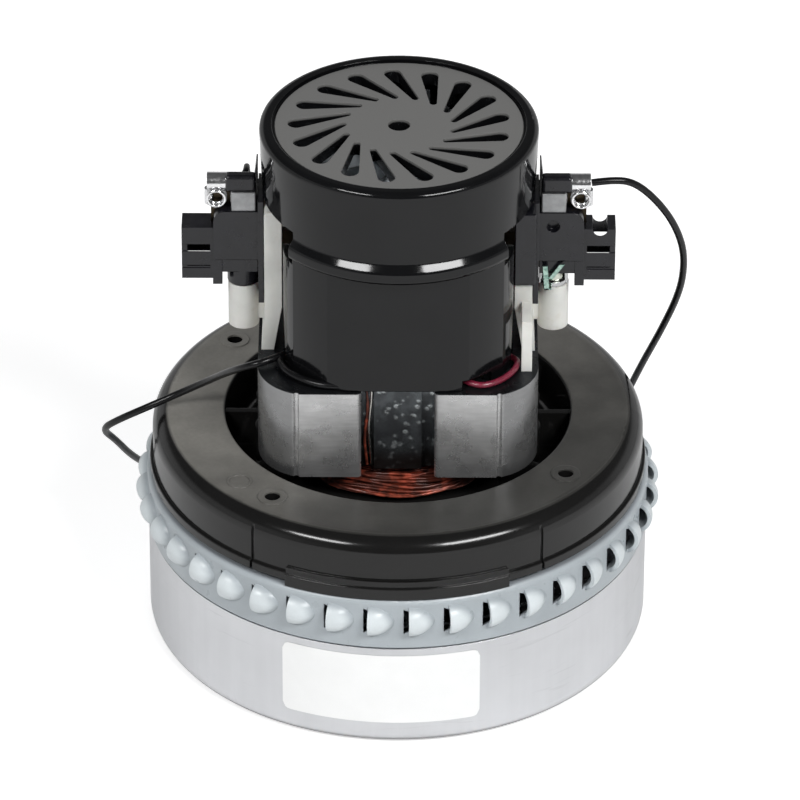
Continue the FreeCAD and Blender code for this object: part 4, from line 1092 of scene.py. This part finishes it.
class MOTOR_OT_brush_gear_trim(bpy.types.Operator):
    """Adds the brush blocks' caps and bars, the crimps' hoops, the earth tag's arms and the leg's shield"""

    bl_idname = "motor.brush_gear_trim"
    bl_label = "Brush gear trim"

    def execute(self, context):
        tin = dull_tin()
        bright = tinned_sheet()
        black = black_moulding(context.scene.motor_colours)
        hoop_x, hoop_r, hoop_wire, sides = 0.0516, 0.0025, 0.0010, 24
        for name, side in SIDES:
            for kind, finish, low, high, edge in (
                ("brush_cap_", tin, (0.0404, -0.0046, 0.1366), (0.0474, -0.0012, 0.1428), 0.0004),
                ("cap_bar_", black, (0.0404, -0.0050, 0.1432), (0.0490, -0.0014, 0.1484), 0.0010),
            ):
                near, far = sorted((side * low[0], side * high[0]))
                new_slab(kind + name, (near, *low[1:]), (far, *high[1:]), finish, edge)
            hoops = []
            for y, z in ((-0.0030, 0.1400), (-0.0019, 0.1404)):
                turns = [2 * pi * n / sides for n in range(sides)]
                hoops.append([
                    Vector((side * hoop_x + hoop_r * cos(turn), y, z + hoop_r * sin(turn))) for turn in turns
                ])
            new_wires("crimp_hoops_" + name, hoops, hoop_wire, bright, cyclic=True)
        tag = green_plating()
        for name, low, high, lean in (
            ("foot", (0.0414, -0.0062, 0.1120), (0.0436, -0.0032, 0.1127), 0.0),
            ("inner", (0.0414, -0.0062, 0.1120), (0.0430, -0.0056, 0.1200), -0.0006),
            ("outer", (0.0424, -0.0062, 0.1156), (0.0440, -0.0056, 0.1206), 0.0034),
        ):
            new_slab("tag_arm_" + name, low, high, tag, 0.0002, 2, lean)
        for name, low, high in (
            ("leg_shield", (0.0328, -0.0136, 0.1180), (0.0388, -0.0124, 0.1414)),
            ("leg_cap", (0.0328, -0.0130, 0.1408), (0.0381, -0.0066, 0.1415)),
        ):
            new_slab(name, low, high, black, 0.0003, 2)
        return {"FINISHED"}


class MOTOR_OT_brush_springs(bpy.types.Operator):
    """Winds the round-wire springs behind the brushes"""

    bl_idname = "motor.brush_springs"
    bl_label = "Brush springs"

    def execute(self, context):
        steel = machined_steel()
        turns, per_turn, coil_r, wire_r = 6, 24, 0.0022, 0.0003
        count = turns * per_turn
        for name, sign in SIDES:
            low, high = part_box("brush_spring_" + name)
            near, far = sorted((abs(low.x), abs(high.x)))
            height = (low.z + high.z) / 2
            path = []
            for n in range(count + 1):
                angle = 2 * pi * n / per_turn
                x = sign * (near + wire_r + (far - near - 2 * wire_r) * n / count)
                path.append(Vector((x, coil_r * cos(angle), height + coil_r * sin(angle))))
            spring = new_mesh("spring_wire_" + name, *tube(path, wire_r, 8), steel)
            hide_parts("brush_spring_" + name)
            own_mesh(spring)
        return {"FINISHED"}


class MOTOR_OT_stage(bpy.types.Operator):
    """Sets the floor, the even light, the soft boxes and the camera"""

    bl_idname = "motor.stage"
    bl_label = "Studio"

    def execute(self, context):
        studio = context.scene.motor_studio
        self.lay_floor(studio)
        self.light_world(context.scene, studio)
        self.hang_lights(studio)
        self.aim_camera(context.scene, studio)
        return {"FINISHED"}

    def lay_floor(self, studio):
        """A pale floor that is white to the camera and keeps the object's shadow."""
        half, glow_level, gloss_part = 9.0, 0.56, 0.9
        data = bpy.data.meshes.new("floor")
        corners = [(-half, -half, 0), (half, -half, 0), (half, half, 0), (-half, half, 0)]
        data.from_pydata(corners, [], [(0, 1, 2, 3)])
        floor = new_object("floor", data)
        material = bpy.data.materials.new("pale_floor")
        material.use_nodes = True
        tree = NodeTree(material.node_tree)
        matte = tree.add("ShaderNodeBsdfDiffuse", {"Color": (0.82, 0.82, 0.82, 1)})
        seen = tree.seen_share(studio.gloss_share * gloss_part)
        glow = tree.add("ShaderNodeEmission", {"Strength": tree.maths("MULTIPLY", seen, glow_level)})
        both = tree.add("ShaderNodeAddShader", {0: matte.outputs[0], 1: glow.outputs[0]})
        tree.add("ShaderNodeOutputMaterial", {0: both.outputs[0]})
        data.materials.append(material)

    def light_world(self, scene, studio):
        """A studio that is light behind and at both sides and dark in front, and white to the camera.

        Gloss shows the white backdrop up to its upper edge, and the darker room above it.
        """
        world = bpy.data.worlds.new("studio_world")
        scene.world = world
        world.use_nodes = True
        tree = NodeTree(world.node_tree)
        coords = tree.add("ShaderNodeTexCoord")
        x, y, z = tree.add("ShaderNodeSeparateXYZ", {0: coords.outputs["Generated"]}).outputs
        light = tree.spread(y, -0.15, 0.55)
        for share in (tree.spread(x, -0.3, -0.98, 0.0, 0.9), tree.spread(x, 0.5, 0.98, 0.0, 0.6)):
            light = tree.maths("MAXIMUM", light, share)
        above = tree.spread(z, 0.32, 0.46, ramp="LINEAR")
        hidden = tree.maths("MULTIPLY", tree.add("ShaderNodeLightPath").outputs["Is Glossy Ray"], above)
        light = tree.maths("MULTIPLY", light, tree.maths("SUBTRACT", 1.0, hidden))
        level = tree.spread(light, 0.0, 1.0, studio.world_low, studio.world_high, ramp="LINEAR")
        even = tree.add("ShaderNodeBackground", {"Color": (0.975, 0.988, 1.0, 1), "Strength": level})
        white = tree.add("ShaderNodeBackground", {"Color": (1, 1, 1, 1)})
        seen = tree.seen_share(tree.maths("MULTIPLY", light, studio.gloss_share))
        mix = tree.add("ShaderNodeMixShader", {0: seen, 1: even.outputs[0], 2: white.outputs[0]})
        tree.add("ShaderNodeOutputWorld", {0: mix.outputs[0]})

    def hang_lights(self, studio):
        """Two wide soft boxes above the camera, one to each side, with a gap between them."""
        middle = Vector((0, 0, 0.1))
        usual_area = 0.2
        for name, side, wide, high in (("left_box", -1, 0.62, 0.22), ("right_box", 1, 0.78, 0.30)):
            lamp = bpy.data.lights.new(name, "AREA")
            lamp.shape = "RECTANGLE"
            lamp.size = wide
            lamp.size_y = high
            lamp.energy = studio.box_power * (wide * high) / usual_area
            box = new_object(name, lamp)
            place = Vector((side * 0.80, -0.98, 1.22))
            box.location = place
            box.rotation_euler = (middle - place).to_track_quat("-Z", "Y").to_euler()

    def aim_camera(self, scene, studio):
        """The photograph's camera: a long lens from the front, well above the motor."""
        data = bpy.data.cameras.new("camera")
        data.sensor_width = 36.0
        data.lens = studio.focal_length
        data.clip_end = 50.0
        camera = new_object("camera", data)
        aim = Vector((studio.aim_side, 0, studio.aim_height))
        forward = Vector((0, cos(studio.elevation), -sin(studio.elevation)))
        up = Vector((0, sin(studio.elevation), cos(studio.elevation)))
        right = Vector((1, 0, 0))
        c, s = cos(studio.roll), sin(studio.roll)
        turned = Matrix((right * c - up * s, right * s + up * c, -forward)).transposed().to_4x4()
        turned.translation = aim - forward * studio.distance
        camera.matrix_world = turned
        scene.camera = camera
        scene.view_settings.view_transform = "Standard"


OPERATORS = (
    MOTOR_OT_stage,
    MOTOR_OT_leads,
    MOTOR_OT_inner_wires,
    MOTOR_OT_sheet_metal,
    MOTOR_OT_mouldings,
    MOTOR_OT_magnetic_parts,
    MOTOR_OT_hardware,
    MOTOR_OT_brush_gear_trim,
    MOTOR_OT_field_coils,
    MOTOR_OT_armature_winding,
    MOTOR_OT_brush_springs,
    MOTOR_OT_label,
)


class MOTOR_PT_panel(bpy.types.Panel):
    """Shows the motor's sizes, colours and studio settings, and a button for each step"""

    bl_idname = "MOTOR_PT_panel"
    bl_label = "Vacuum motor"
    bl_space_type = "VIEW_3D"
    bl_region_type = "UI"
    bl_category = "Motor"

    def draw(self, context):
        for group in (context.scene.motor_sizes, context.scene.motor_colours, context.scene.motor_studio):
            box = self.layout.box()
            for name in group.__annotations__:
                box.prop(group, name)
        for operator in OPERATORS:
            self.layout.operator(operator.bl_idname)


CLASSES = (MotorSizes, MotorColours, MotorStudio) + OPERATORS + (MOTOR_PT_panel,)


def register():
    for cls in CLASSES:
        bpy.utils.register_class(cls)
    bpy.types.Scene.motor_sizes = PointerProperty(type=MotorSizes)
    bpy.types.Scene.motor_colours = PointerProperty(type=MotorColours)
    bpy.types.Scene.motor_studio = PointerProperty(type=MotorStudio)


def unregister():
    del bpy.types.Scene.motor_studio
    del bpy.types.Scene.motor_colours
    del bpy.types.Scene.motor_sizes
    for cls in reversed(CLASSES):
        bpy.utils.unregister_class(cls)


def main():
    register()
    for operator in OPERATORS:
        group, name = operator.bl_idname.split(".")
        getattr(getattr(bpy.ops, group), name)()


if __name__ == "__main__":
    main()
